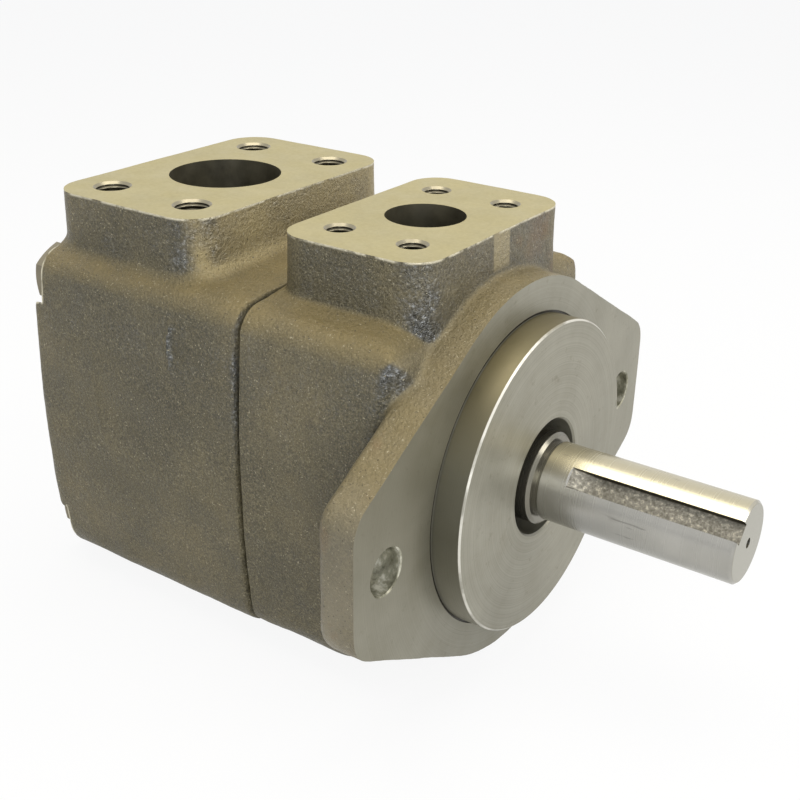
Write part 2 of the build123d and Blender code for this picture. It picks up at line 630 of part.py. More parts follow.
def drill(shape, radius, angles, start, end):
    for cut in through_rods(radius, angles, start, end):
        shape -= cut
    return shape


def cam_ring():
    ring = on_axis(Circle(CARTRIDGE_DIAMETER / 2) - cam_track(), CAM_REAR, OUTLET_FLEX_REAR)
    ring = drill(ring, PIN_DIAMETER / 2, PIN_ANGLES, CAM_REAR - PAST, OUTLET_FLEX_REAR + PAST)
    return drill(ring, SCREW_HOLE / 2, SCREW_ANGLES, CAM_REAR - PAST, OUTLET_FLEX_REAR + PAST)


def sector(inner, outer, angle, sweep):
    """Ring sector in (y, z), centred on an angle."""
    wedge = Polyline((0, 0), polar(2 * outer, angle - sweep / 2), polar(2 * outer, angle + sweep / 2),
                     close=True)
    return (Circle(outer) - Circle(inner)) & make_face(wedge)


def arc_slot(radius, width, angle, sweep):
    """Kidney-shaped slot in (y, z), centred on an angle."""
    return SlotArc(CenterArc((0, 0), radius, angle - sweep / 2, sweep), width)


def flex_plate(front, rear):
    """Side plate with kidney ports and under-vane slots."""
    plate = Circle(CARTRIDGE_DIAMETER / 2) - Circle(SPLINE_PASSAGE)
    for angle in OUTLET_ANGLES + INLET_ANGLES:
        plate -= arc_slot(KIDNEY_RADIUS, KIDNEY_WIDTH, angle, KIDNEY_SWEEP)
        plate -= arc_slot(SLOT_BOTTOM_RADIUS + UNDERVANE_WIDTH / 2, UNDERVANE_WIDTH, angle, KIDNEY_SWEEP)
    solid = on_axis(plate, front, rear)
    solid = drill(solid, PIN_DIAMETER / 2, PIN_ANGLES, rear - PAST, front + PAST)
    return drill(solid, SCREW_HOLE / 2, SCREW_ANGLES, rear - PAST, front + PAST)


def outlet_support_plate():
    """Disc behind the outlet side of the rotor, with the hub that fits the front body."""
    plate = rod(DISC_DIAMETER / 2, DISC_REAR, DISC_FRONT) + rod(HUB_DIAMETER / 2, DISC_FRONT, HUB_FRONT)
    plate -= rod(HUB_BORE_DIAMETER / 2, DISC_REAR - PAST, HUB_FRONT + PAST)
    half = KIDNEY_WIDTH / 2
    middle = (DISC_REAR + DISC_FRONT) / 2
    hub_edge = HUB_DIAMETER / 2 + PASSAGE_WALL
    outer = DISCHARGE_RADIUS - PASSAGE_WALL
    for angle in OUTLET_ANGLES:
        intake = sector(KIDNEY_RADIUS - half, outer, angle, KIDNEY_SWEEP)
        plate -= on_axis(intake, DISC_REAR - PAST, middle)
        exit_slot = sector(hub_edge, outer, angle, KIDNEY_SWEEP)
        plate -= on_axis(exit_slot, middle, DISC_FRONT + PAST)
    plate -= tube(DISC_DIAMETER, DISC_GROOVE_RADIUS, DISC_GROOVE_REAR, DISC_GROOVE_FRONT)
    plate -= tube(HUB_DIAMETER, HUB_GROOVE_RADIUS, HUB_GROOVE_REAR, -HUB_GROOVE_DEPTH)
    plate = drill(plate, PIN_DIAMETER / 2, PIN_ANGLES, DISC_REAR - PAST, DISC_REAR + SCREW_GRIP)
    return drill(plate, SCREW_DIAMETER / 2, SCREW_ANGLES, DISC_REAR - PAST, DISC_REAR + SCREW_GRIP)


def disc_o_ring():
    return square_ring(DISC_GROOVE_RADIUS + RING_ROOM, DISC_DIAMETER / 2, DISC_GROOVE_REAR + RING_ROOM,
                       DISC_GROOVE_FRONT - RING_ROOM, DISC_RING_SECTION * RING_CORNER_SHARE)


def hub_o_ring():
    start = -HUB_GROOVE_DEPTH - HUB_BACKUP_WIDTH - RING_ROOM
    return square_ring(HUB_GROOVE_RADIUS + RING_ROOM, HUB_DIAMETER / 2, start,
                       HUB_GROOVE_REAR + RING_ROOM, HUB_RING_SECTION * RING_CORNER_SHARE)


def hub_backup_ring():
    return tube(HUB_DIAMETER / 2, HUB_GROOVE_RADIUS + RING_ROOM, -HUB_GROOVE_DEPTH,
                -HUB_GROOVE_DEPTH - HUB_BACKUP_WIDTH)


def inlet_support_plate():
    """Plate on the inlet side of the rotor, with the seat of the shaft's rear bushing."""
    plate = rod(CARTRIDGE_DIAMETER / 2, INLET_PLATE_REAR, INLET_FLEX_REAR)
    plate -= rod(SPLINE_PASSAGE, INLET_PLATE_REAR + BUSHING_LENGTH, INLET_FLEX_REAR + PAST)
    plate -= rod(BUSHING_OUTER, INLET_PLATE_REAR - PAST, INLET_PLATE_REAR + BUSHING_LENGTH)
    half = KIDNEY_WIDTH / 2
    for angle in INLET_ANGLES:
        slot = sector(KIDNEY_RADIUS - half, CARTRIDGE_DIAMETER / 2 + PAST, angle, KIDNEY_SWEEP)
        plate -= on_axis(slot, INLET_PLATE_REAR - PAST, INLET_FLEX_REAR + PAST)
    front = INLET_FLEX_REAR + PAST
    plate = drill(plate, PIN_DIAMETER / 2, PIN_ANGLES, INLET_FLEX_REAR - SCREW_GRIP, front)
    plate = drill(plate, SCREW_HOLE / 2, SCREW_ANGLES, INLET_PLATE_REAR - PAST, front)
    head_seat = INLET_PLATE_REAR + SCREW_HEAD_HEIGHT
    return drill(plate, SCREW_HEAD_HOLE / 2, SCREW_ANGLES, INLET_PLATE_REAR - PAST, head_seat)


def locating_pins():
    pins = through_rods(PIN_DIAMETER / 2, PIN_ANGLES, INLET_FLEX_REAR - SCREW_GRIP, DISC_REAR + SCREW_GRIP)
    return Compound(children=pins)


def cartridge_screws():
    """Socket-head screws from the inlet plate into the outlet plate."""
    head_seat = INLET_PLATE_REAR + SCREW_HEAD_HEIGHT
    screw = rod(SCREW_DIAMETER / 2, head_seat, DISC_REAR + SCREW_GRIP)
    screw += rod(SCREW_HEAD_DIAMETER / 2, INLET_PLATE_REAR, head_seat)
    hexagon = RegularPolygon(SCREW_SOCKET / 2, 6, major_radius=False)
    socket = on_axis(hexagon, INLET_PLATE_REAR - PAST, INLET_PLATE_REAR + SCREW_HEAD_HEIGHT / 2)
    screw -= socket
    return Compound(children=[turn(Pos(0, PIN_RADIUS, 0) * screw, angle) for angle in SCREW_ANGLES])


def rear_bushing():
    return tube(BUSHING_OUTER, TAIL_DIAMETER / 2 + RUNNING_ROOM, INLET_PLATE_REAR,
                INLET_PLATE_REAR + BUSHING_LENGTH)


# ---- shaft, rotor and vanes ----

def spline_outline(room):
    """Straight-sided spline section in (y, z)."""
    root, tip = SPLINE_ROOT_DIAMETER / 2 + room, SPLINE_DIAMETER / 2 + room
    pitch = 360.0 / SPLINE_TEETH
    points = []
    for i in range(SPLINE_TEETH):
        for radius, share in ((root, -1), (root, -SPLINE_FOOT_SHARE), (tip, -SPLINE_TIP_SHARE),
                              (tip, SPLINE_TIP_SHARE), (root, SPLINE_FOOT_SHARE)):
            points.append(polar(radius, pitch * (i + share / 2)))
    return make_face(Polyline(*points, close=True))


def keyway():
    """Keyway open at the shaft's end, with the run-out of a round cutter at its start."""
    depth = EXTENSION_DIAMETER / 2 - KEYWAY_FLOOR
    run_out = sqrt(KEYWAY_CUTTER_RADIUS ** 2 - (KEYWAY_CUTTER_RADIUS - depth) ** 2)
    flat_start = KEYWAY_START + run_out
    high = EXTENSION_DIAMETER
    floor = Pos((flat_start + EXTENSION_END + PAST) / 2, (KEYWAY_FLOOR + high) / 2, 0) * Box(
        EXTENSION_END + PAST - flat_start, high - KEYWAY_FLOOR, KEY_WIDTH)
    cutter_centre = Pos(flat_start, KEYWAY_FLOOR + KEYWAY_CUTTER_RADIUS, 0)
    cutter = cutter_centre * Cylinder(KEYWAY_CUTTER_RADIUS, KEY_WIDTH)
    return turn(floor + cutter, KEYWAY_ANGLE)


def drive_shaft():
    journal = JOURNAL_DIAMETER / 2
    relief_start = EXTENSION_START - RELIEF_WIDTH
    ring_floor = journal - SHAFT_RING_BITE
    extension = EXTENSION_DIAMETER / 2
    shaft = turned([
        (TAIL_END, 0), (TAIL_END, TAIL_DIAMETER / 2 - EXTENSION_CHAMFER),
        (TAIL_END + EXTENSION_CHAMFER, TAIL_DIAMETER / 2),
        (SPLINE_END, TAIL_DIAMETER / 2), (SPLINE_END, SPLINE_ROOT_DIAMETER / 2 - SEAT_ROOM),
        (SPLINE_START, SPLINE_ROOT_DIAMETER / 2 - SEAT_ROOM), (SPLINE_START, MIDDLE_DIAMETER / 2),
        (COLLAR_REAR, MIDDLE_DIAMETER / 2), (COLLAR_REAR, COLLAR_DIAMETER / 2),
        (BEARING_REAR, COLLAR_DIAMETER / 2), (BEARING_REAR, journal),
        (BEARING_FRONT, journal), (BEARING_FRONT, ring_floor),
        (BEARING_FRONT + SHAFT_RING_WIDTH, ring_floor), (BEARING_FRONT + SHAFT_RING_WIDTH, journal),
        (relief_start - JOURNAL_CHAMFER, journal), (relief_start, journal - JOURNAL_CHAMFER),
        (relief_start, RELIEF_DIAMETER / 2), (EXTENSION_START, RELIEF_DIAMETER / 2),
        (EXTENSION_START, extension), (EXTENSION_END - EXTENSION_CHAMFER, extension),
        (EXTENSION_END, extension - EXTENSION_CHAMFER), (EXTENSION_END, 0)])
    shaft += on_axis(spline_outline(0), SPLINE_END, SPLINE_START)
    shaft -= rod(CENTRE_HOLE_DIAMETER / 2, EXTENSION_END - CENTRE_HOLE_DEPTH, EXTENSION_END + PAST)
    return shaft - keyway()


def vane_angles():
    return [VANE_PITCH * (i + 0.5) for i in range(VANE_COUNT)]


def rotor():
    width = VANE_THICKNESS + 2 * VANE_SIDE_ROOM
    reach = ROTOR_DIAMETER / 2
    depth = reach + PAST - SLOT_BOTTOM_RADIUS
    slot = Pos(SLOT_BOTTOM_RADIUS + depth / 2, 0) * Rectangle(depth, width)
    section = Circle(reach) - spline_outline(SEAT_ROOM)
    for angle in vane_angles():
        section -= Rot(0, 0, angle) * slot
    return on_axis(section, ROTOR_REAR, ROTOR_FRONT)


def insert_blank():
    low = SLOT_BOTTOM_RADIUS
    return Pos((ROTOR_FRONT + ROTOR_REAR) / 2, low + INSERT_HEIGHT / 2, 0) * Box(
        INSERT_WIDTH, INSERT_HEIGHT, VANE_THICKNESS)


def vane_inserts():
    return Compound(children=[turn(insert_blank(), angle) for angle in vane_angles()])


def vane_blank():
    """One vane lying along +Y, right back in its slot, with a notch that clears the insert."""
    low = SLOT_BOTTOM_RADIUS + VANE_SIDE_ROOM
    high = low + VANE_HEIGHT
    half = VANE_THICKNESS / 2
    bevel = VANE_TIP_BEVEL
    section = make_face(Polyline(
        (low, -half), (high - bevel, -half), (high, -half + bevel),
        (high, half - bevel), (high - bevel, half), (low, half), close=True))
    vane = on_axis(section, ROTOR_REAR, ROTOR_FRONT)
    notch_top = SLOT_BOTTOM_RADIUS + INSERT_HEIGHT + INSERT_HEADROOM
    notch = Pos((ROTOR_FRONT + ROTOR_REAR) / 2, notch_top / 2, 0) * Box(
        INSERT_WIDTH + 2 * VANE_SIDE_ROOM, notch_top, 2 * VANE_THICKNESS)
    return vane - notch


save(front_body(), "front_body")
save(rear_cover(), "rear_cover")
save(cover_bolts(), "cover_bolts")
save(cover_o_ring(), "cover_o_ring")
save(bearing_outer_race(), "bearing_outer_race")
save(bearing_inner_race(), "bearing_inner_race")
save(bearing_cage(), "bearing_cage")
save(bearing_balls(), "bearing_balls")
save(bearing_retaining_ring(), "bearing_retaining_ring")
save(shaft_retaining_ring(), "shaft_retaining_ring")
save(shaft_seal_case(), "shaft_seal_case")
save(shaft_seal_lip(), "shaft_seal_lip")
save(seal_garter_spring(), "seal_garter_spring")
save(cam_ring(), "cam_ring")
save(flex_plate(DISC_REAR, OUTLET_FLEX_REAR), "outlet_flex_plate")
save(flex_plate(CAM_REAR, INLET_FLEX_REAR), "inlet_flex_plate")
save(outlet_support_plate(), "outlet_support_plate")
save(disc_o_ring(), "disc_o_ring")
save(hub_o_ring(), "hub_o_ring")
save(hub_backup_ring(), "hub_backup_ring")
save(inlet_support_plate(), "inlet_support_plate")
save(locating_pins(), "locating_pins")
save(cartridge_screws(), "cartridge_screws")
save(rear_bushing(), "rear_bushing")
save(drive_shaft(), "drive_shaft")
save(rotor(), "rotor")
save(vane_inserts(), "vane_inserts")
for number, vane_angle in enumerate(vane_angles(), start=1):
    save(turn(vane_blank(), vane_angle), f"vane_{number:02d}")
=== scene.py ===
"""Looks of the hydraulic vane pump: castings, machined faces, ground shaft, studio and camera."""
import json
import math

import bmesh
import bpy
import numpy as np
from mathutils import Matrix, Vector, geometry, kdtree, noise
from mathutils.bvhtree import BVHTree


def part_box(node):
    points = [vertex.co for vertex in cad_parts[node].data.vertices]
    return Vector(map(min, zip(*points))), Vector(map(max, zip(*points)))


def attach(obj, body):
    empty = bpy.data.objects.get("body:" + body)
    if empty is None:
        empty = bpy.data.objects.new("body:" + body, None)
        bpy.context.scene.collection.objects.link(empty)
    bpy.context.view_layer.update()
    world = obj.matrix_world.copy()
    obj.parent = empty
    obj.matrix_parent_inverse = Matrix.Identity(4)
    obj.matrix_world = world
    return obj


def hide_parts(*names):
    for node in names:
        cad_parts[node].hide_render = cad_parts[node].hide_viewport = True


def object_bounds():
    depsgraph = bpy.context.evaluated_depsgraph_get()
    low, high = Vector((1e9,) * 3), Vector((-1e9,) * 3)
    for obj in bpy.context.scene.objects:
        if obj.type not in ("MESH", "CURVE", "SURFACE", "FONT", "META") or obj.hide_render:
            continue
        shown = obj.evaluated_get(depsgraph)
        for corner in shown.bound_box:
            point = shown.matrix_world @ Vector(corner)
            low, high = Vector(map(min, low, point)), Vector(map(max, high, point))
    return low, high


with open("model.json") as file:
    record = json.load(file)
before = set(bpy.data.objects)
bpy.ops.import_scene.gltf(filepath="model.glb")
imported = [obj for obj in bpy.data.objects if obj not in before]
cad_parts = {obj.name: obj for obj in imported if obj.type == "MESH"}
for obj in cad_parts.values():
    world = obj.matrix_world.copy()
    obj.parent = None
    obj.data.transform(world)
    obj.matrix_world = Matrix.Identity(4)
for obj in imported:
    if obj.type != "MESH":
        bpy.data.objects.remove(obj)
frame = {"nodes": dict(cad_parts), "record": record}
cad_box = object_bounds()

MM = 0.001
SCENE = bpy.context.scene
NODES = frame["nodes"]
MOUNTS = {mount["name"]: mount for mount in frame["record"]["mounts"]}

# ---- sizes read from the frame, in metres ----
PILOT_RADIUS = MOUNTS["pilot"]["dims"]["r_mm"] * MM
INLET_AXIS_X = MOUNTS["inlet_port"]["pos_m"][0]
OUTLET_AXIS_X = MOUNTS["outlet_port"]["pos_m"][0]
PORT_FACE_Z = MOUNTS["inlet_face"]["pos_m"][2]
SHAFT_RADIUS = MOUNTS["shaft_extension"]["dims"]["r_mm"] * MM
SEAM_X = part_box("front_body")[0].x
REAR_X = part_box("rear_cover")[0].x
PILOT_FACE_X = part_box("front_body")[1].x
FLOOR_Z = cad_box[0].z


# ---- node tree helpers ----

class Tree:
    """A material's node tree, with short ways to add and link nodes."""

    def __init__(self, name):
        self.material = bpy.data.materials.new(name)
        self.material.use_nodes = True
        self.nodes = self.material.node_tree.nodes
        self.links = self.material.node_tree.links
        self.shader = self.nodes["Principled BSDF"]
        self.coordinates = self.nodes.new("ShaderNodeTexCoord").outputs["Object"]

    def feed(self, socket, value):
        """Links a socket to another node's output, or sets it to a constant."""
        if isinstance(value, bpy.types.NodeSocket):
            self.links.new(value, socket)
        elif isinstance(value, tuple):
            socket.default_value = (*value, 1.0)
        else:
            socket.default_value = value

    def noise(self, scale, detail=4.0, roughness=0.55, stretch=None, place=None):
        """Noise value at a scale per metre, optionally stretched along axes or read at another place."""
        node = self.nodes.new("ShaderNodeTexNoise")
        node.inputs["Scale"].default_value = scale
        node.inputs["Detail"].default_value = detail
        node.inputs["Roughness"].default_value = roughness
        place = self.coordinates if place is None else place
        if stretch:
            mapping = self.nodes.new("ShaderNodeMapping")
            mapping.inputs["Scale"].default_value = stretch
            self.links.new(place, mapping.inputs["Vector"])
            place = mapping.outputs["Vector"]
        self.links.new(place, node.inputs["Vector"])
        return node.outputs["Fac"]

    def vector(self, x, y, z):
        node = self.nodes.new("ShaderNodeCombineXYZ")
        for socket, value in zip(node.inputs, (x, y, z)):
            self.feed(socket, value)
        return node.outputs[0]

    def ramp(self, value, *stops):
        """Colour ramp of (position, colour) stops."""
        node = self.nodes.new("ShaderNodeValToRGB")
        while len(node.color_ramp.elements) < len(stops):
            node.color_ramp.elements.new(1.0)
        for element, (position, colour) in zip(node.color_ramp.elements, stops):
            element.position = position
            element.color = (*colour, 1.0)
        self.feed(node.inputs["Fac"], value)
        return node.outputs["Color"]

    def band(self, value, low, high, start=0.0, end=1.0):
        """Value remapped from low..high to start..end, clamped."""
        node = self.nodes.new("ShaderNodeMapRange")
        for name, number in (("From Min", low), ("From Max", high), ("To Min", start), ("To Max", end)):
            node.inputs[name].default_value = number
        self.feed(node.inputs["Value"], value)
        return node.outputs["Result"]

    def math(self, operation, first, second=0.0):
        node = self.nodes.new("ShaderNodeMath")
        node.operation = operation
        self.feed(node.inputs[0], first)
        self.feed(node.inputs[1], second)
        return node.outputs[0]

    def product(self, first, *others):
        for other in others:
            first = self.math("MULTIPLY", first, other)
        return first

    def mix(self, share, first, second):
        """Colour that goes from the first to the second by share."""
        node = self.nodes.new("ShaderNodeMix")
        node.data_type = "RGBA"
        self.feed(node.inputs["Factor"], share)
        ends = [socket for socket in node.inputs if socket.type == "RGBA"]
        for socket, colour in zip(ends, (first, second)):
            self.feed(socket, colour)
        return next(socket for socket in node.outputs if socket.type == "RGBA")

    def mask(self, name):
        """A value painted on the mesh as a named attribute."""
        node = self.nodes.new("ShaderNodeAttribute")
        node.attribute_name = name
        return node.outputs["Fac"]

    def parts(self, vector):
        node = self.nodes.new("ShaderNodeSeparateXYZ")
        self.links.new(vector, node.inputs[0])
        return node.outputs[0], node.outputs[1], node.outputs[2]

    def axes(self):
        """Place on the piece, as x, y and z."""
        return self.parts(self.coordinates)

    def normals(self):
        """Direction that the surface faces, as x, y and z."""
        return self.parts(self.nodes.new("ShaderNodeNewGeometry").outputs["Normal"])

    def bump(self, height, distance, strength=1.0):
        node = self.nodes.new("ShaderNodeBump")
        node.inputs["Distance"].default_value = distance
        self.feed(node.inputs["Strength"], strength)
        self.feed(node.inputs["Height"], height)
        return node.outputs["Normal"]

    def finish(self, colour, roughness, metallic, normal):
        """Links colour, roughness, metallic and normal to the shader."""
        self.feed(self.shader.inputs["Base Color"], colour)
        self.feed(self.shader.inputs["Roughness"], roughness)
        self.feed(self.shader.inputs["Metallic"], metallic)
        self.links.new(normal, self.shader.inputs["Normal"])
        return self.material


# ---- mesh helpers ----

def add_object(name, data):
    made = bpy.data.objects.new(name, data)
    SCENE.collection.objects.link(made)
    return made


def mesh_of(bm, name):
    mesh = bpy.data.meshes.new(name)
    bm.normal_update()
    bm.to_mesh(mesh)
    bm.free()
    return mesh


def turned(name, profile, axis="X", centre=(0.0, 0.0, 0.0), steps=128):
    """Closed solid of revolution from (along, radius) points, the first and last on the axis."""
    bm = bmesh.new()
    rings = []
    for along, radius in profile:
        if radius == 0:
            rings.append([bm.verts.new((along, 0, 0))])
            continue
        turns = [2 * math.pi * i / steps for i in range(steps)]
        rings.append([bm.verts.new((along, radius * math.cos(a), radius * math.sin(a))) for a in turns])
    for low, high in zip(rings, rings[1:]):
        for i in range(steps):
            j = (i + 1) % steps
            corners = [low[i % len(low)], low[j % len(low)], high[j % len(high)], high[i % len(high)]]
            unique = list(dict.fromkeys(corners))
            if len(unique) > 2:
                bm.faces.new(unique)
    bmesh.ops.recalc_face_normals(bm, faces=bm.faces)
    if axis == "Z":
        bmesh.ops.rotate(bm, verts=bm.verts, matrix=Matrix.Rotation(-math.pi / 2, 3, "Y"))
    bmesh.ops.translate(bm, verts=bm.verts, vec=centre)
    return add_object(name, mesh_of(bm, name))


def rod(name, radius, low, high, axis="X", centre=(0.0, 0.0, 0.0), steps=96):
    return turned(name, [(low, 0), (low, radius), (high, radius), (high, 0)], axis, centre, steps)


def slab(name, low, high):
    bm = bmesh.new()
    bmesh.ops.create_cube(bm, size=1.0)
    size = Vector(high) - Vector(low)
    bmesh.ops.scale(bm, vec=size, verts=bm.verts)
    bmesh.ops.translate(bm, vec=(Vector(low) + Vector(high)) / 2, verts=bm.verts)
    return add_object(name, mesh_of(bm, name))


def apply_modifiers(piece):
    depsgraph = bpy.context.evaluated_depsgraph_get()
    mesh = bpy.data.meshes.new_from_object(piece.evaluated_get(depsgraph))
    piece.modifiers.clear()
    piece.data = mesh


def combine(piece, other, operation):
    """Boolean of two closed meshes; the other is used up."""
    modifier = piece.modifiers.new("combine", "BOOLEAN")
    modifier.operation = operation
    modifier.solver = "MANIFOLD"
    modifier.object = other
    apply_modifiers(piece)
    bpy.data.objects.remove(other)


# ---- castings: a rough skin first, then the machining cut into it ----

KINDS = ("cast", "faced", "turned", "bore", "thread", "drilled", "lip")
CAST_KIND = KINDS.index("cast")
BRIGHT_KINDS = {KINDS.index("faced"), KINDS.index("turned")}
NEAR = 0.02 * MM
TRIM_SIZE = 0.3

# rough skin: fineness, stock left for machining, roundness and lumps
SKIN_VOXEL = 0.8 * MM
SKIN_STOCK = 1.6 * MM
SKIN_ROUNDING = 7
SKIN_SOFTNESS = 0.5
SKIN_REACH = 0.12 * MM
LUMP_HEIGHT = 0.22 * MM
LUMP_SCALE = 85.0
GRAIN_HEIGHT = 0.06 * MM
GRAIN_SCALE = 420.0
SHARP_ANGLE = 32.0
RIM_REACH = 1.1 * MM

# casting ridges on the cover's near side: x, lowest z, highest z, height
RIDGES = [(-92.9 * MM, 30.5 * MM, 45.0 * MM, 0.75 * MM), (-127.0 * MM, 2.0 * MM, 24.0 * MM, 0.3 * MM)]
RIDGE_SIDE_Y = -45 * MM
RIDGE_WIDTH = 0.9 * MM
RIDGE_BOW = -1.2 * MM
RIDGE_RUN_OUT = 0.2
RIDGE_FADE = 0.25

# front casting: flange, rounded lower corners, and the flare at the seam
FLANGE_BACK = -12.7 * MM
BODY_FRONT = -9.0 * MM
BODY_RADIUS = 14.0 * MM
EASE_RADIUS = 24.0 * MM
EASE_MARGIN = 0.5 * MM
EASE_GAP = 0.2 * MM
EASE_FADE = 30 * MM
HULL_STEPS = 24
SEAM_FLARE = 0.45 * MM
FLARE_START = -52 * MM
FLARE_LENGTH = 10 * MM

# solid blocks that close the hollows before the skin is made
BODY_FILL_HALF = 51.5 * MM
FRONT_FILL_END = -30 * MM
REAR_FILL_SETBACK = 9 * MM
BORE_FILL_FLOOR = 30 * MM
BOSS_FILL_FLOOR = 40 * MM
OUTLET_FILL_HALF = (19 * MM, 32.5 * MM)
OUTLET_FILL_SHARE = 1.3
INLET_FILL_HALF = (25 * MM, 43 * MM)
INLET_FILL_SHARE = 1.1
PILOT_FILL_MARGIN = 3 * MM
HOLE_FILL_START = -11.8 * MM
HOLE_FILL_SHARE = 1.2

# machining, with the number of steps round each turned form
PILOT_STEPS = 256
BORE_STEPS = 160
TAP_STEPS = 64
BOLT_HOLE_STEPS = 32
THREAD_CHAMFER = 0.9 * MM
DRILL_TIP_SHARE = 0.5
TAP_TIP = 2 * MM
TAP_ZONE = 6.6 * MM
OUTLET_TAP_DEPTH = 18 * MM
INLET_TAP_DEPTH = 21 * MM
OUTLET_BORE_FLOOR = 45 * MM
INLET_BORE_FLOOR = 30 * MM
PILOT_CHAMFER = 0.6 * MM
PILOT_ROOT = -2 * MM
PILOT_EDGE_X = 8.95 * MM
GROOVE_WIDTH = 0.8 * MM
GROOVE_DEPTH = 0.6 * MM
GROOVE_PAINT_DEPTH = 0.7 * MM
HOLE_BREAK = 0.4 * MM
HOLE_CUT_START = -20 * MM
PASSAGE_RADIUS = 19.05 * MM
LIP_RADIUS = 21 * MM
SEAL_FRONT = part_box("shaft_seal_case")[1].x
SEAL_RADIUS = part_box("shaft_seal_case")[1].y
BEARING_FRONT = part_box("bearing_outer_race")[1].x
BEARING_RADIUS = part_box("bearing_outer_race")[1].y
CHAMBER_RADIUS = 48.5 * MM
CHAMBER_WALL = 12 * MM

# cover bolts and their spot faces
HEX_HALF = 9.525 * MM
HEX_SLOPE = math.radians(30)
BOLT_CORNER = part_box("cover_bolts")[1]
BOLT_Y = BOLT_CORNER.y - HEX_HALF
BOLT_Z = BOLT_CORNER.z - HEX_HALF / math.cos(HEX_SLOPE)
BOLT_HOLE_RADIUS = 7 * MM
BOLT_HOLE_OVERLAP = 1 * MM
SPOT_DEPTH = 5.4 * MM
SPOT_X = REAR_X + SPOT_DEPTH + SKIN_VOXEL / 2
SPOT_RADIUS = 15.6 * MM


def vectors_of(items, field):
    """One field of a mesh's vertices or faces, as rows of an array."""
    values = np.empty(len(items) * 3, np.float32)
    items.foreach_get(field, values)
    return values.reshape(-1, 3).astype(np.float64)


def stretched_copy(node, name, moves):
    """Copy of a CAD node's mesh, with its faces at each (axis, place) moved by the stock, one way."""
    mesh = NODES[node].data.copy()
    mesh.name = name
    mesh.materials.clear()
    for axis, place, way in moves:
        for vertex in mesh.vertices:
            if abs(vertex.co[axis] - place) < NEAR:
                vertex.co[axis] += way * SKIN_STOCK
    return add_object(name, mesh)


def ridge_height(place):
    """Short casting ridges that stand on the cover's near side."""
    height = 0.0
    if place[1] > RIDGE_SIDE_Y:
        return height
    for x, low, high, lift in RIDGES:
        along = (place[2] - low) / (high - low)
        if -RIDGE_RUN_OUT < along < 1 + RIDGE_RUN_OUT:
            across = (place[0] - x - RIDGE_BOW * math.sin(math.pi * along)) / RIDGE_WIDTH
            to_end = min(along, 1 - along) + RIDGE_RUN_OUT
            ends = min(to_end / RIDGE_FADE, 1.0)
            height += lift * ends * math.exp(-across * across)
    return height


def flange_reach(turns):
    """Distance from the shaft axis to the flange's outline at each angle of an array."""
    corners = [(v.co.y, v.co.z) for v in NODES["front_body"].data.vertices if abs(v.co.x) < NEAR]
    outline = [corners[i] for i in geometry.convex_hull_2d(corners)]
    points = []
    for (y0, z0), (y1, z1) in zip(outline, outline[1:] + outline[:1]):
        steps = [i / HULL_STEPS for i in range(HULL_STEPS)]
        points += [(y0 + (y1 - y0) * step, z0 + (z1 - z0) * step) for step in steps]
    angles = np.arctan2([z for _, z in points], [y for y, _ in points])
    reaches = np.array([math.hypot(y, z) for y, z in points])
    order = np.argsort(angles)
    return np.interp(turns, angles[order], reaches[order], period=2 * math.pi)


def rounded(x, radius):
    """Depth that a rounding of the body's front edge takes off at each x."""
    into = np.clip(x - (BODY_FRONT - radius), 0.0, radius)
    return radius - np.sqrt(radius ** 2 - into ** 2)


def eased(places):
    """Rounds the body's lower front corners more, and flares the front casting out to the cover."""
    x = places[:, 0]
    reach = np.hypot(places[:, 1], places[:, 2])
    flange = flange_reach(np.arctan2(places[:, 2], places[:, 1]))
    low = np.clip(-places[:, 2] / EASE_FADE, 0.0, 1.0)
    inward = low * math.sqrt(2) * (rounded(x, EASE_RADIUS) - rounded(x, BODY_RADIUS))
    on_body = np.maximum(reach - inward, np.minimum(reach, flange - EASE_MARGIN))
    past = reach - flange
    on_nose = np.where(past > EASE_MARGIN, reach - low * (past - EASE_MARGIN / 2), reach)
    target = np.where(x < FLANGE_BACK - EASE_GAP, on_body, on_nose)
    flare = SEAM_FLARE * np.clip((FLARE_START - x) / FLARE_LENGTH, 0.0, 1.0)
    scale = (target + flare) / reach
    places[:, 1] *= scale
    places[:, 2] *= scale
    return places


def lift_at(place):
    """Height of the casting's lumps, grains and ridges at a place."""
    lumps = noise.noise(Vector(place) * LUMP_SCALE) * LUMP_HEIGHT
    grains = noise.noise(Vector(place) * GRAIN_SCALE) * GRAIN_HEIGHT
    return lumps + grains + ridge_height(place)


def rough_skin(piece, fillers):
    """Fills the hollows, melts all into one rounded skin, and returns its vertices' lumpy places."""
    bm = bmesh.new()
    bm.from_mesh(piece.data)
    for filler in fillers:
        bm.from_mesh(filler.data)
        bpy.data.objects.remove(filler)
    bm.to_mesh(piece.data)
    bm.free()
    remesh = piece.modifiers.new("remesh", "REMESH")
    remesh.mode = "VOXEL"
    remesh.voxel_size = SKIN_VOXEL
    smooth = piece.modifiers.new("round", "SMOOTH")
    smooth.factor = SKIN_SOFTNESS
    smooth.iterations = SKIN_ROUNDING
    apply_modifiers(piece)
    mesh = piece.data
    places = vectors_of(mesh.vertices, "co")
    lifts = np.array([lift_at(place) for place in places])
    return places + vectors_of(mesh.vertices, "normal") * lifts[:, None]


def place_skin(piece, places):
    """Moves a skin's vertices to their places, and returns a tree that finds the nearest point on it."""
    piece.data.vertices.foreach_set("co", places.astype(np.float32).ravel())
    piece.data.update()
    return BVHTree.FromObject(piece, bpy.context.evaluated_depsgraph_get())


def hole_places(axis_x, pattern):
    half_x, half_y = pattern["spacing_x_mm"] * MM / 2, pattern["spacing_y_mm"] * MM / 2
    return [(axis_x + x, y) for x in (-half_x, half_x) for y in (-half_y, half_y)]


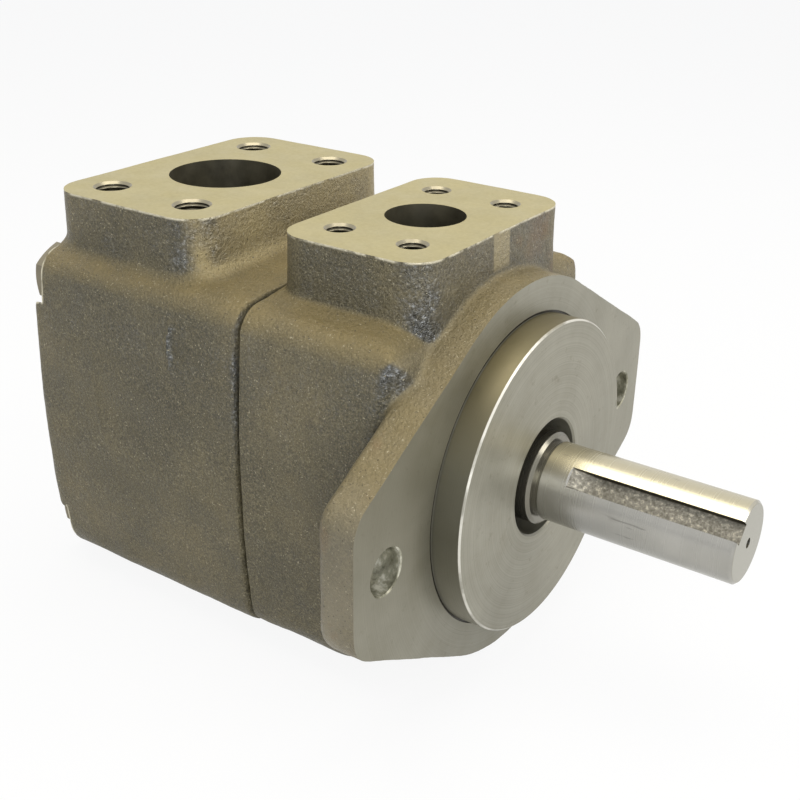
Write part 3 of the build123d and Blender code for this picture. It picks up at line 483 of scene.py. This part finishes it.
def body_filler(low_x, high_x):
    return slab("fill", (low_x, -BODY_FILL_HALF, -BODY_FILL_HALF), (high_x, BODY_FILL_HALF, BODY_FILL_HALF))


def hole_filler(y, radius):
    return rod("fill", radius * HOLE_FILL_SHARE, HOLE_FILL_START, SKIN_STOCK, "X", (0, y, 0))


def port_fillers(axis_x, radius, half):
    """Solids that close a port and fill the boss round it."""
    top = PORT_FACE_Z + SKIN_STOCK
    return [rod("fill", radius, BORE_FILL_FLOOR, top, "Z", (axis_x, 0, 0)),
            slab("fill", (axis_x - half[0], -half[1], BOSS_FILL_FLOOR), (axis_x + half[0], half[1], top))]


def port_tools(axis_x, bore_radius, pattern, depth, floor):
    """Cutters of one port: its bore, and tapped holes with chamfers."""
    top = PORT_FACE_Z + SKIN_STOCK * 2
    tools = [rod("bore", bore_radius, floor, top, "Z", (axis_x, 0, 0), BORE_STEPS)]
    radius = pattern["hole_r_mm"] * MM
    profile = [(PORT_FACE_Z - depth - radius * DRILL_TIP_SHARE, 0), (PORT_FACE_Z - depth, radius),
               (PORT_FACE_Z - THREAD_CHAMFER, radius), (PORT_FACE_Z, radius + THREAD_CHAMFER),
               (top, radius + THREAD_CHAMFER), (top, 0)]
    for x, y in hole_places(axis_x, pattern):
        tools.append(turned("tapped_hole", profile, "Z", (x, y, 0), TAP_STEPS))
    return tools


def cut_away(piece, axis, limit, way):
    """Cuts off what lies beyond a limit on one axis, one way."""
    low, high = [-TRIM_SIZE] * 3, [TRIM_SIZE] * 3
    (low if way > 0 else high)[axis] = limit
    combine(piece, slab("trim", low, high), "DIFFERENCE")


def port_kind(place, holes, depth):
    """Kind of a face on the port face or in one of its tapped holes, or None."""
    x, y, z = place
    if abs(z - PORT_FACE_Z) < NEAR:
        return "faced"
    nearest = min(math.hypot(x - hole_x, y - hole_y) for hole_x, hole_y in holes)
    return "thread" if nearest < TAP_ZONE and z > PORT_FACE_Z - depth - TAP_TIP else None


def on_plane(place):
    """True on the port and seam planes, on the flange face and on all that stands before it."""
    return place[0] > -NEAR / 4 or min(abs(place[2] - PORT_FACE_Z), abs(place[0] - SEAM_X)) < NEAR / 4


def paint_faces(piece, skin_tree, materials, kind_at):
    """Faces still on the rough skin keep the cast material, kind_at(place) names the others."""
    mesh = piece.data
    mesh.materials.clear()
    for kind in KINDS:
        mesh.materials.append(materials[kind])
    painted = []
    for centre in vectors_of(mesh.polygons, "center"):
        on_skin = skin_tree.find_nearest(centre)[3] < SKIN_REACH and not on_plane(centre)
        painted.append(CAST_KIND if on_skin else KINDS.index(kind_at(centre)))
    mesh.polygons.foreach_set("material_index", painted)
    mesh.shade_smooth()
    mesh.set_sharp_from_angle(angle=math.radians(SHARP_ANGLE))


def rim_mask(piece):
    """Attribute that is 1 where the cast skin meets a bright face and falls to 0 at the rim's reach."""
    mesh = piece.data
    edges = {}
    for face in mesh.polygons:
        for key in face.edge_keys:
            edges.setdefault(key, set()).add(face.material_index)
    rim = {v for key, kinds in edges.items() if CAST_KIND in kinds and kinds & BRIGHT_KINDS for v in key}
    tree = kdtree.KDTree(len(rim))
    for index in rim:
        tree.insert(mesh.vertices[index].co, index)
    tree.balance()
    values = [max(0.0, 1.0 - tree.find(vertex.co)[2] / RIM_REACH) for vertex in mesh.vertices]
    attribute = mesh.attributes.new("rim", "FLOAT", "POINT")
    attribute.data.foreach_set("value", values)


def pilot_groove():
    """Cutter of the groove round the pilot's foot."""
    radius = PILOT_RADIUS + GROOVE_WIDTH
    profile = [(-GROOVE_DEPTH, 0), (-GROOVE_DEPTH, radius), (SKIN_STOCK, radius), (SKIN_STOCK, 0)]
    return turned("groove", profile, steps=PILOT_STEPS)


def pilot_solid():
    """The pilot's disc, with its chamfer."""
    profile = [(PILOT_ROOT, 0), (PILOT_ROOT, PILOT_RADIUS), (PILOT_FACE_X - PILOT_CHAMFER, PILOT_RADIUS),
               (PILOT_FACE_X, PILOT_RADIUS - PILOT_CHAMFER), (PILOT_FACE_X, 0)]
    return turned("pilot", profile, steps=PILOT_STEPS)


def shaft_way(back):
    """Cutter of the stepped way for bearing, seal and shaft, from the back to the pilot's face."""
    edge = PASSAGE_RADIUS + PILOT_CHAMFER
    end = PILOT_FACE_X + SKIN_STOCK
    profile = [(back, 0), (back, BEARING_RADIUS), (BEARING_FRONT, BEARING_RADIUS),
               (BEARING_FRONT, SEAL_RADIUS), (SEAL_FRONT, SEAL_RADIUS), (SEAL_FRONT, PASSAGE_RADIUS),
               (PILOT_FACE_X - PILOT_CHAMFER, PASSAGE_RADIUS), (PILOT_FACE_X, edge), (end, edge), (end, 0)]
    return turned("inside", profile, steps=BORE_STEPS)


def flange_hole(y, radius):
    """Cutter of a bolt hole through the flange, with a broken edge at its mouth."""
    mouth = radius + HOLE_BREAK
    profile = [(HOLE_CUT_START, 0), (HOLE_CUT_START, radius), (-HOLE_BREAK, radius), (0, mouth),
               (SKIN_STOCK, mouth), (SKIN_STOCK, 0)]
    return turned("hole", profile, "X", (0, y, 0))


def front_casting(materials):
    """Front body: flange, pilot, outlet boss."""
    outlet = MOUNTS["outlet_port"]["dims"]["r_mm"] * MM
    pattern = MOUNTS["outlet_port_bolts"]["dims"]
    ear = MOUNTS["mounting_flange"]["dims"]["spacing_x_mm"] * MM / 2
    hole = MOUNTS["mounting_flange"]["dims"]["hole_r_mm"] * MM
    skin = stretched_copy("front_body", "front_casting", [(2, PORT_FACE_Z, 1), (0, SEAM_X, -1), (0, 0.0, 1)])
    back = SEAM_X - SKIN_STOCK
    fillers = [
        rod("fill", PILOT_RADIUS + PILOT_FILL_MARGIN, back, SKIN_STOCK),
        body_filler(back, FRONT_FILL_END),
        *port_fillers(OUTLET_AXIS_X, outlet * OUTLET_FILL_SHARE, OUTLET_FILL_HALF),
        *[hole_filler(y, hole) for y in (-ear, ear)],
    ]
    tree = place_skin(skin, eased(rough_skin(skin, fillers)))
    cut_away(skin, 2, PORT_FACE_Z, 1)
    cut_away(skin, 0, 0.0, 1)
    cut_away(skin, 0, SEAM_X, -1)
    combine(skin, pilot_groove(), "DIFFERENCE")
    combine(skin, pilot_solid(), "UNION")
    tools = port_tools(OUTLET_AXIS_X, outlet, pattern, OUTLET_TAP_DEPTH, OUTLET_BORE_FLOOR)
    tools += [shaft_way(back), flange_hole(-ear, hole), flange_hole(ear, hole)]
    for tool in tools:
        combine(skin, tool, "DIFFERENCE")
    holes = hole_places(OUTLET_AXIS_X, pattern)

    def kind_at(place):
        x, y, z = place
        reach = math.hypot(y, z)
        if math.hypot(abs(y) - ear, z) < hole + HOLE_BREAK / 2:
            return "drilled"
        if x > -GROOVE_PAINT_DEPTH and reach > PASSAGE_RADIUS + NEAR:
            return "turned"
        in_lip = x > SEAL_FRONT - NEAR and reach < LIP_RADIUS
        return port_kind(place, holes, OUTLET_TAP_DEPTH) or ("lip" if in_lip else "bore")

    paint_faces(skin, tree, materials, kind_at)
    rim_mask(skin)
    return skin


def bolt_tools(centre, front):
    """Cutters of a cover bolt's spot face and of its hole."""
    spot_face = rod("spot_face", SPOT_RADIUS, REAR_X - SKIN_STOCK, SPOT_X, "X", centre)
    start = SPOT_X - BOLT_HOLE_OVERLAP
    return [spot_face, rod("bolt_hole", BOLT_HOLE_RADIUS, start, front, "X", centre, BOLT_HOLE_STEPS)]


def rear_casting(materials):
    """Rear cover: inlet boss and the four spot-faced corners."""
    inlet = MOUNTS["inlet_port"]["dims"]["r_mm"] * MM
    pattern = MOUNTS["inlet_port_bolts"]["dims"]
    # the cover's outer wall ends short of the seam by the stock, which leaves an open slot round the joint
    skin = stretched_copy("rear_cover", "rear_casting", [(2, PORT_FACE_Z, 1), (0, SEAM_X, -1)])
    front = SEAM_X + SKIN_STOCK
    fillers = [
        body_filler(REAR_X + REAR_FILL_SETBACK, front),
        *port_fillers(INLET_AXIS_X, inlet * INLET_FILL_SHARE, INLET_FILL_HALF),
    ]
    tree = place_skin(skin, rough_skin(skin, fillers))
    cut_away(skin, 2, PORT_FACE_Z, 1)
    cut_away(skin, 0, SEAM_X, 1)
    tools = port_tools(INLET_AXIS_X, inlet, pattern, INLET_TAP_DEPTH, INLET_BORE_FLOOR)
    tools.append(rod("chamber", CHAMBER_RADIUS, REAR_X + CHAMBER_WALL, front))
    for y in (-BOLT_Y, BOLT_Y):
        for z in (-BOLT_Z, BOLT_Z):
            tools += bolt_tools((0, y, z), front)
    for tool in tools:
        combine(skin, tool, "DIFFERENCE")
    holes = hole_places(INLET_AXIS_X, pattern)

    def kind_at(place):
        # faces on the seam plane fall to bore, whose dark colour is a painted shade along the joint
        inner = "turned" if place[0] < SPOT_X + NEAR else "bore"
        return port_kind(place, holes, INLET_TAP_DEPTH) or inner

    paint_faces(skin, tree, materials, kind_at)
    rim_mask(skin)
    return skin


# ---- materials ----

THREAD_PITCH = 1.6 * MM
KEY_ANGLE = math.radians(138.0)
KEY_HALF = 6.35 * MM / 2
KEY_FLOOR = 9.1 * MM
KEY_TOP = math.sqrt(SHAFT_RADIUS ** 2 - KEY_HALF ** 2)
KEY_START = 21 * MM
COLLAR_END = 13.3 * MM
SHAFT_END = cad_box[1].x

BOSS_FOOT_Z = 50 * MM
INLET_BOSS_FRONT = -80.5 * MM
STRIP_Y = 0.6 * MM
STRIP_HALF = 5.0 * MM
STRIP_FOOT_Z = 64 * MM
RUST_START = -18 * MM
RUST_FULL = -10 * MM


def cast_base(t, grain):
    """Olive brown of the casting, in patches and grains, with a tan painted highlight where it faces up."""
    z_facing = t.normals()[2]
    tone = t.ramp(t.noise(30, 6, 0.65), (0.33, (0.046, 0.042, 0.025)), (0.5, (0.100, 0.086, 0.046)),
                  (0.66, (0.195, 0.160, 0.082)))
    grains = t.ramp(grain, (0.33, (0.024, 0.020, 0.010)), (0.5, (0.100, 0.084, 0.043)),
                    (0.64, (0.240, 0.205, 0.115)))
    tone = t.mix(0.6, tone, grains)
    # painted highlight: tan where the casting faces up
    up = t.product(t.band(z_facing, 0.15, 0.85), t.band(t.noise(60, 4), 0.25, 0.6, 0.5, 0.95))
    return t.mix(up, tone, (0.195, 0.150, 0.060))


def flange_band(t):
    """Share of the paler wall round the flange, stronger low down."""
    x, _, z = t.axes()
    patches = t.band(t.noise(75, 4), 0.3, 0.65, 0.4, 1.0)
    on_flange = t.band(x, FLANGE_BACK - 0.1 * MM, FLANGE_BACK + 0.9 * MM)
    return t.product(on_flange, patches, t.band(z, 35 * MM, -15 * MM, 0.3, 0.9))


def glossy_corner_and_painted_reflection(t):
    """Share of the dark glossy skin on the near upper corners, whose dark and pale patches are a painted
    reflection.
    """
    nx, ny, nz = t.normals()
    z = t.axes()[2]
    corner = t.math("SUBTRACT", t.product(nx, 0.72), t.product(ny, 0.69))
    patches = t.band(t.noise(70, 5, 0.6), 0.34, 0.60)
    return t.product(t.band(corner, 0.62, 0.96), patches, t.band(z, 0.0, 40 * MM), t.band(nz, 0.55, 0.2))


def boss_marks_and_painted_light(t, tone):
    """Pale front of the inlet boss as a painted highlight where it faces +x, paler wall round the flange, and
    rust by the flange.
    """
    x, _, z = t.axes()
    nx = t.normals()[0]
    # painted highlight: the inlet boss's face towards +x, pale where the light falls on it
    inlet = t.product(t.band(x, INLET_BOSS_FRONT + 3 * MM, INLET_BOSS_FRONT), t.band(nx, 0.35, 0.8),
                      t.band(z, BOSS_FOOT_Z, BOSS_FOOT_Z + 8 * MM))
    tone = t.mix(t.product(inlet, 0.75), tone, (0.40, 0.32, 0.155))
    tone = t.mix(flange_band(t), tone, (0.205, 0.178, 0.118))
    rust = t.product(t.band(x, RUST_START, RUST_FULL), t.band(t.noise(48, 4), 0.54, 0.68, 0.0, 0.55))
    return t.mix(rust, tone, (0.19, 0.105, 0.040))


def filed_strip(t):
    """Share of the filed strip on the outlet boss's front."""
    x, y, z = t.axes()
    nx = t.normals()[0]
    aside = t.math("ABSOLUTE", t.math("SUBTRACT", y, STRIP_Y))
    return t.product(t.band(aside, STRIP_HALF, STRIP_HALF - 0.8 * MM), t.band(nx, 0.6, 0.75),
                     t.band(z, STRIP_FOOT_Z, STRIP_FOOT_Z + 1.5 * MM), t.band(x, -16 * MM, -14 * MM))


def cast_iron():
    """Oily sand casting: olive brown, with a tan painted highlight where it faces up, dark and glossy on the
    near corners, where dark and pale patches are a painted reflection.
    """
    t = Tree("cast_iron")
    grain = t.noise(1700, 3, 0.7)
    dark = glossy_corner_and_painted_reflection(t)
    # painted reflection: dark skin with pale bluish patches on the glossy corners
    painted_reflection = t.ramp(t.noise(900, 5, 0.7), (0.36, (0.035, 0.036, 0.034)), (0.54, (0.110, 0.113, 0.110)),
                   (0.70, (0.40, 0.42, 0.44)))
    tone = boss_marks_and_painted_light(t, cast_base(t, grain))
    tone = t.mix(t.product(dark, 0.9), tone, painted_reflection)
    # painted glints: pale yellowish specks in the casting's colour
    painted_glints = t.product(t.band(t.noise(1500, 2), 0.66, 0.71), 0.75)
    tone = t.mix(painted_glints, tone, (0.46, 0.41, 0.28))
    pits = t.product(t.band(t.noise(1250, 2), 0.35, 0.29), 0.75)
    tone = t.mix(pits, tone, (0.016, 0.013, 0.007))
    tone = t.mix(t.product(filed_strip(t), 0.7), tone, (0.36, 0.30, 0.17))
    # pale chips along the rim where the skin meets a machined face: partly bare metal, partly a painted
    # highlight on the edge
    chips_and_edge_highlight = t.product(t.band(t.mask("rim"), 0.30, 0.70), t.band(t.noise(210, 3), 0.36, 0.50))
    tone = t.mix(chips_and_edge_highlight, tone, (0.62, 0.57, 0.42))
    height = t.math("ADD", t.product(grain, 0.45), t.product(t.noise(760, 3, 0.6), 0.75))
    normal = t.bump(height, 0.95 * MM, t.math("SUBTRACT", 1.0, t.product(flange_band(t), 0.5)))
    rough = t.math("SUBTRACT", t.band(t.noise(120, 4), 0.3, 0.7, 0.30, 0.48), t.product(dark, 0.14))
    metal = t.math("ADD", 0.2, t.product(dark, 0.6))
    return t.finish(tone, rough, metal, normal)


def faced_iron():
    """Milled port face: pale, slightly yellow, nearly even."""
    t = Tree("faced_iron")
    tone = t.ramp(t.noise(70, 4), (0.3, (0.330, 0.285, 0.135)), (0.7, (0.375, 0.325, 0.160)))
    fine = t.noise(900, 3, 0.6)
    tone = t.mix(0.2, tone, t.ramp(fine, (0.35, (0.26, 0.225, 0.11)), (0.65, (0.45, 0.40, 0.22))))
    return t.finish(tone, t.band(t.noise(90, 4), 0.3, 0.7, 0.42, 0.56), 0.25, t.bump(fine, 0.04 * MM, 0.4))


def pilot_shade_and_stain(t, tone, reach):
    """Darker flange face on the near side, painted shade on the pilot's wall with a tan painted highlight on
    its top, painted shade in the groove, and stains.
    """
    x, y, z = t.axes()
    near_side = t.product(t.band(y, 0.0, -60 * MM), t.band(z, -50 * MM, 20 * MM),
                          t.band(reach, PILOT_RADIUS - 0.8 * MM, PILOT_RADIUS + 0.6 * MM))
    tone = t.mix(t.product(near_side, 0.6), tone, (0.120, 0.108, 0.062))
    # painted shade on the pilot's wall, lifting towards the bottom, then a tan painted highlight on its top
    wall = t.product(t.band(x, 0.0, 0.3 * MM),
                     t.band(reach, PILOT_RADIUS - 0.6 * MM, PILOT_RADIUS - 0.4 * MM))
    shade = t.math("SUBTRACT", 0.85, t.band(z, 0.0, -45 * MM))
    tone = t.mix(t.product(wall, shade), tone, (0.105, 0.100, 0.070))
    tone = t.mix(t.product(wall, t.band(z, 20 * MM, 45 * MM), 0.7), tone, (0.165, 0.135, 0.060))
    stain = t.product(t.band(t.noise(260, 4, 0.7), 0.60, 0.72), 0.45)
    tone = t.mix(stain, tone, (0.13, 0.115, 0.07))
    # painted shade: the groove at the pilot's foot nearly black
    groove = t.product(t.band(x, -0.2 * MM, -0.4 * MM),
                       t.band(reach, PILOT_RADIUS - 1.3 * MM, PILOT_RADIUS - 0.6 * MM))
    return t.mix(groove, tone, (0.030, 0.026, 0.016))


def turned_iron():
    """Turned flange and pilot: greyer, with faint rings round the shaft axis and a painted highlight on the
    pilot's chamfer.
    """
    t = Tree("turned_iron")
    x, y, z = t.axes()
    reach = t.math("SQRT", t.math("ADD", t.product(y, y), t.product(z, z)))
    rings = t.noise(2600, 3, 0.6, place=t.vector(reach, x, 0.0))
    broad = t.noise(55, 5, 0.6)
    tone = t.ramp(broad, (0.28, (0.205, 0.192, 0.138)), (0.5, (0.262, 0.250, 0.195)),
                  (0.72, (0.320, 0.305, 0.245)))
    tone = t.mix(0.22, tone, t.ramp(rings, (0.35, (0.17, 0.16, 0.12)), (0.65, (0.40, 0.385, 0.32))))
    tone = pilot_shade_and_stain(t, tone, reach)
    # painted highlight: a bright line on the pilot's chamfer
    edge = t.product(t.band(x, PILOT_EDGE_X, PILOT_EDGE_X + 0.1 * MM),
                     t.band(reach, PILOT_RADIUS - 0.65 * MM, PILOT_RADIUS - 0.55 * MM),
                     t.band(t.noise(90, 4), 0.34, 0.5, 0.35, 1.0))
    tone = t.mix(edge, tone, (0.62, 0.60, 0.53))
    normal = t.bump(t.math("ADD", rings, t.product(t.noise(700, 3), 0.5)), 0.035 * MM, 0.5)
    return t.finish(tone, t.band(broad, 0.3, 0.7, 0.33, 0.46), 0.55, normal)


def dark_bore():
    """Dark inside of bores, ducts and pockets; on the seam plane's faces the dark is a painted shade of the
    joint.
    """
    t = Tree("dark_bore")
    tone = t.ramp(t.noise(120, 4), (0.3, (0.046, 0.041, 0.026)), (0.7, (0.090, 0.080, 0.050)))
    rough = t.band(t.noise(160, 4), 0.3, 0.7, 0.30, 0.48)
    return t.finish(tone, rough, 0.3, t.bump(t.noise(500, 4), 0.12 * MM, 0.5))


def drilled_hole():
    """Bolt hole through the flange: drilled wall with light and dark patches, brightened as painted light
    inside the shaded hole.
    """
    t = Tree("drilled_hole")
    tone = t.ramp(t.noise(230, 4, 0.65, stretch=(1.0, 1.0, 0.5)), (0.36, (0.10, 0.095, 0.062)),
                  (0.52, (0.26, 0.25, 0.18)), (0.66, (0.62, 0.60, 0.50)))
    return t.finish(tone, 0.36, 0.35, t.bump(t.noise(500, 3), 0.10 * MM, 0.6))


def threaded():
    """Tapped hole: bright chamfer above rings of thread, whose dark rings are painted shade between the
    ridges.
    """
    t = Tree("threaded")
    depth = t.math("SUBTRACT", PORT_FACE_Z, t.axes()[2])
    wave = t.math("SINE", t.product(depth, 2 * math.pi / THREAD_PITCH))
    inside = t.band(depth, 0.75 * MM, 1.0 * MM)
    # painted shade: dark rings between the thread's ridges
    ridge = t.product(t.band(wave, -0.2, 0.9), inside)
    tone = t.mix(inside, (0.30, 0.27, 0.19), t.mix(ridge, (0.050, 0.044, 0.028), (0.30, 0.27, 0.19)))
    return t.finish(tone, 0.30, 0.75, t.bump(t.product(wave, inside), 0.35 * MM, 0.8))


def keyway_shares(t):
    """Share of the keyway's inside, and of its two walls."""
    x, y, z = t.axes()
    cosine, sine = math.cos(KEY_ANGLE), math.sin(KEY_ANGLE)
    rise = t.math("ADD", t.product(y, cosine), t.product(z, sine))
    aside = t.math("ABSOLUTE", t.math("SUBTRACT", t.product(z, cosine), t.product(y, sine)))
    slot = t.product(t.band(aside, KEY_HALF + 0.06 * MM, KEY_HALF + 0.01 * MM),
                     t.band(rise, KEY_TOP + 0.02 * MM, KEY_TOP - 0.05 * MM),
                     t.band(rise, KEY_FLOOR - 0.15 * MM, KEY_FLOOR - 0.05 * MM),
                     t.band(x, KEY_START, KEY_START + 0.2 * MM))
    return slot, t.product(slot, t.band(aside, KEY_HALF - 0.5 * MM, KEY_HALF - 0.1 * MM))


def ground_steel():
    """Drive shaft: ground steel with faint rings, scratches and a rough keyway, a warm painted highlight on
    its top, and painted shade on the collar and the keyway's walls.
    """
    t = Tree("ground_steel")
    x = t.axes()[0]
    slot, wall = keyway_shares(t)
    rings = t.noise(2200, 3, 0.6, place=t.vector(x, 0.0, 0.0))
    tone = t.ramp(t.noise(48, 4), (0.3, (0.33, 0.325, 0.295)), (0.7, (0.42, 0.412, 0.38)))
    # painted highlight: warm and pale where the shaft faces up
    tone = t.mix(t.band(t.normals()[2], 0.55, 0.85), tone, (0.56, 0.51, 0.36))
    tone = t.mix(0.12, tone, t.ramp(rings, (0.35, (0.26, 0.255, 0.23)), (0.65, (0.50, 0.485, 0.44))))
    scratches = t.band(t.noise(420, 3, 0.7, stretch=(0.12, 1.0, 1.0)), 0.64, 0.70)
    tone = t.mix(t.product(scratches, 0.6), tone, (0.16, 0.155, 0.14))
    # painted shade: the shaft darker behind the collar's end, by the seal
    tone = t.mix(t.band(x, COLLAR_END + 0.05 * MM, COLLAR_END - 0.05 * MM), tone, (0.20, 0.19, 0.155))
    tone = t.mix(t.band(x, SHAFT_END - 0.1 * MM, SHAFT_END - 0.05 * MM), tone, (0.33, 0.32, 0.265))
    mottle = t.ramp(t.noise(900, 4, 0.7), (0.36, (0.13, 0.12, 0.095)), (0.55, (0.25, 0.235, 0.195)),
                    (0.68, (0.52, 0.48, 0.38)))
    # painted shade: the keyway's two walls nearly black
    tone = t.mix(wall, t.mix(slot, tone, mottle), (0.045, 0.038, 0.024))
    height = t.math("ADD", t.product(rings, 0.3), t.product(slot, t.noise(700, 4, 0.7)))
    rough = t.math("ADD", t.band(rings, 0.3, 0.7, 0.20, 0.30), t.product(slot, 0.22))
    return t.finish(tone, rough, 0.92, t.bump(height, 0.06 * MM, 0.5))


def plain_metal(name, colour, roughness, metallic=0.9):
    t = Tree(name)
    low = tuple(c * 0.8 for c in colour)
    tone = t.ramp(t.noise(150, 4), (0.3, low), (0.7, colour))
    return t.finish(tone, t.band(t.noise(220, 3), 0.3, 0.7, roughness, roughness + 0.12), metallic,
                    t.bump(t.noise(800, 3), 0.03 * MM, 0.4))


def plain_soft(name, colour, roughness):
    t = Tree(name)
    tone = t.ramp(t.noise(300, 3), (0.3, tuple(c * 0.75 for c in colour)), (0.7, colour))
    return t.finish(tone, roughness, 0.0, t.bump(t.noise(900, 3), 0.03 * MM, 0.4))


def dress(node, material):
    mesh = NODES[node].data
    mesh.materials.clear()
    mesh.materials.append(material)


CASTING_MATERIALS = {"cast": cast_iron(), "faced": faced_iron(), "turned": turned_iron(), "bore": dark_bore(),
                     "thread": threaded(), "drilled": drilled_hole()}
CASTING_MATERIALS["lip"] = CASTING_MATERIALS["turned"]
BY_SLOT = {
    "cast_iron": CASTING_MATERIALS["cast"],
    "bolt_steel": plain_metal("bolt_steel", (0.26, 0.23, 0.16), 0.42, 0.6),
    "ground_steel": ground_steel(),
    "machined_steel": plain_metal("machined_steel", (0.52, 0.52, 0.51), 0.30),
    "bronze": plain_metal("bronze", (0.52, 0.36, 0.17), 0.32),
    "rubber": plain_soft("rubber", (0.045, 0.040, 0.028), 0.42),
    "backup_plastic": plain_soft("backup_plastic", (0.80, 0.79, 0.74), 0.45),
}

for entry in frame["record"]["subparts"]:
    dress(entry["node"], BY_SLOT[entry["material_slot"]])

front = front_casting(CASTING_MATERIALS)
rear = rear_casting(CASTING_MATERIALS)
for piece, node in ((front, "front_body"), (rear, "rear_cover")):
    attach(piece, "housing")
    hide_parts(node)


# ---- camera, studio and light ----

CAMERA_PLACE = (0.156161, -0.294889, 0.180834)
CAMERA_RIGHT = (0.82027, 0.57182, 0.01372)
CAMERA_FORWARD = (-0.51176, 0.74441, -0.42890)
CAMERA_LENS = 53.277
FLOOR_SIZE = 4.0
FLOOR_GAP = 0.05 * MM
FLOOR_SEEN = 0.90
FLOOR_MIRRORED = 0.45
SKY_STRENGTH = 0.45
WHITE = (1, 1, 1, 1)
LIGHT_TARGET = (-0.05, 0, 0)
# name, place, width and height, power, colour
LIGHTS = [
    ("top_light", (-0.10, 0.05, 0.9), (0.9, 0.7), 7.0, (1.0, 0.95, 0.84)),
    ("front_light", (0.55, -0.75, 0.35), (0.5, 0.5), 5.0, (0.95, 0.97, 1.0)),
    ("right_light", (0.8, 0.35, 0.5), (0.4, 0.5), 3.2, (1.0, 0.97, 0.92)),
]


def add_camera():
    data = bpy.data.cameras.new("camera")
    data.sensor_width = 36.0
    data.lens = CAMERA_LENS
    data.clip_start = 0.01
    right, forward = Vector(CAMERA_RIGHT), Vector(CAMERA_FORWARD)
    turn = Matrix((right, right.cross(forward), -forward)).transposed().to_4x4()
    made = add_object("camera", data)
    made.matrix_world = Matrix.Translation(CAMERA_PLACE) @ turn
    SCENE.camera = made


def seen_rays(tree, camera=1.0, mirrored=1.0):
    """Share of plain white that camera, glossy and transmission rays see in the background."""
    rays = tree.nodes.new("ShaderNodeLightPath")
    shares = {"Is Camera Ray": camera, "Is Glossy Ray": mirrored, "Is Transmission Ray": mirrored}
    total = None
    for name, share in shares.items():
        scaled = tree.nodes.new("ShaderNodeMath")
        scaled.operation = "MULTIPLY"
        scaled.inputs[1].default_value = share
        tree.links.new(rays.outputs[name], scaled.inputs[0])
        if total is not None:
            higher = tree.nodes.new("ShaderNodeMath")
            higher.operation = "MAXIMUM"
            tree.links.new(total, higher.inputs[0])
            tree.links.new(scaled.outputs[0], higher.inputs[1])
            scaled = higher
        total = scaled.outputs[0]
    return total


def show_white(tree, kind, plain, share, output):
    """Mixes a white shader of a kind over the plain one, by share, into the output socket."""
    white = tree.nodes.new(kind)
    white.inputs["Color"].default_value = WHITE
    mix = tree.nodes.new("ShaderNodeMixShader")
    for socket, value in zip(mix.inputs, (share, plain.outputs[0], white.outputs[0])):
        tree.links.new(value, socket)
    tree.links.new(mix.outputs[0], output)


def add_floor():
    bm = bmesh.new()
    bmesh.ops.create_grid(bm, x_segments=1, y_segments=1, size=FLOOR_SIZE)
    bmesh.ops.translate(bm, verts=bm.verts, vec=(0, 0, FLOOR_Z - FLOOR_GAP))
    floor = add_object("floor", mesh_of(bm, "floor"))
    material = bpy.data.materials.new("floor")
    material.use_nodes = True
    tree = material.node_tree
    shader = tree.nodes["Principled BSDF"]
    shader.inputs["Base Color"].default_value = (0.80, 0.80, 0.79, 1)
    shader.inputs["Roughness"].default_value = 0.9
    share = seen_rays(tree, FLOOR_SEEN, FLOOR_MIRRORED)
    show_white(tree, "ShaderNodeEmission", shader, share, tree.nodes["Material Output"].inputs["Surface"])
    floor.data.materials.append(material)


def add_world():
    world = bpy.data.worlds.new("studio")
    SCENE.world = world
    world.use_nodes = True
    tree = world.node_tree
    sky = tree.nodes["Background"]
    sky.inputs["Color"].default_value = (0.86, 0.90, 1.0, 1)
    sky.inputs["Strength"].default_value = SKY_STRENGTH
    output = tree.nodes["World Output"].inputs["Surface"]
    show_white(tree, "ShaderNodeBackground", sky, seen_rays(tree), output)


def add_lamp(name, place, size, power, colour):
    data = bpy.data.lights.new(name, "AREA")
    data.shape = "RECTANGLE"
    data.size, data.size_y = size
    data.energy = power
    data.color = colour
    lamp = add_object(name, data)
    lamp.location = place
    lamp.rotation_euler = (Vector(LIGHT_TARGET) - Vector(place)).to_track_quat("-Z", "Y").to_euler()


add_camera()
add_floor()
add_world()
for light in LIGHTS:
    add_lamp(*light)
SCENE.view_settings.view_transform = "Standard"
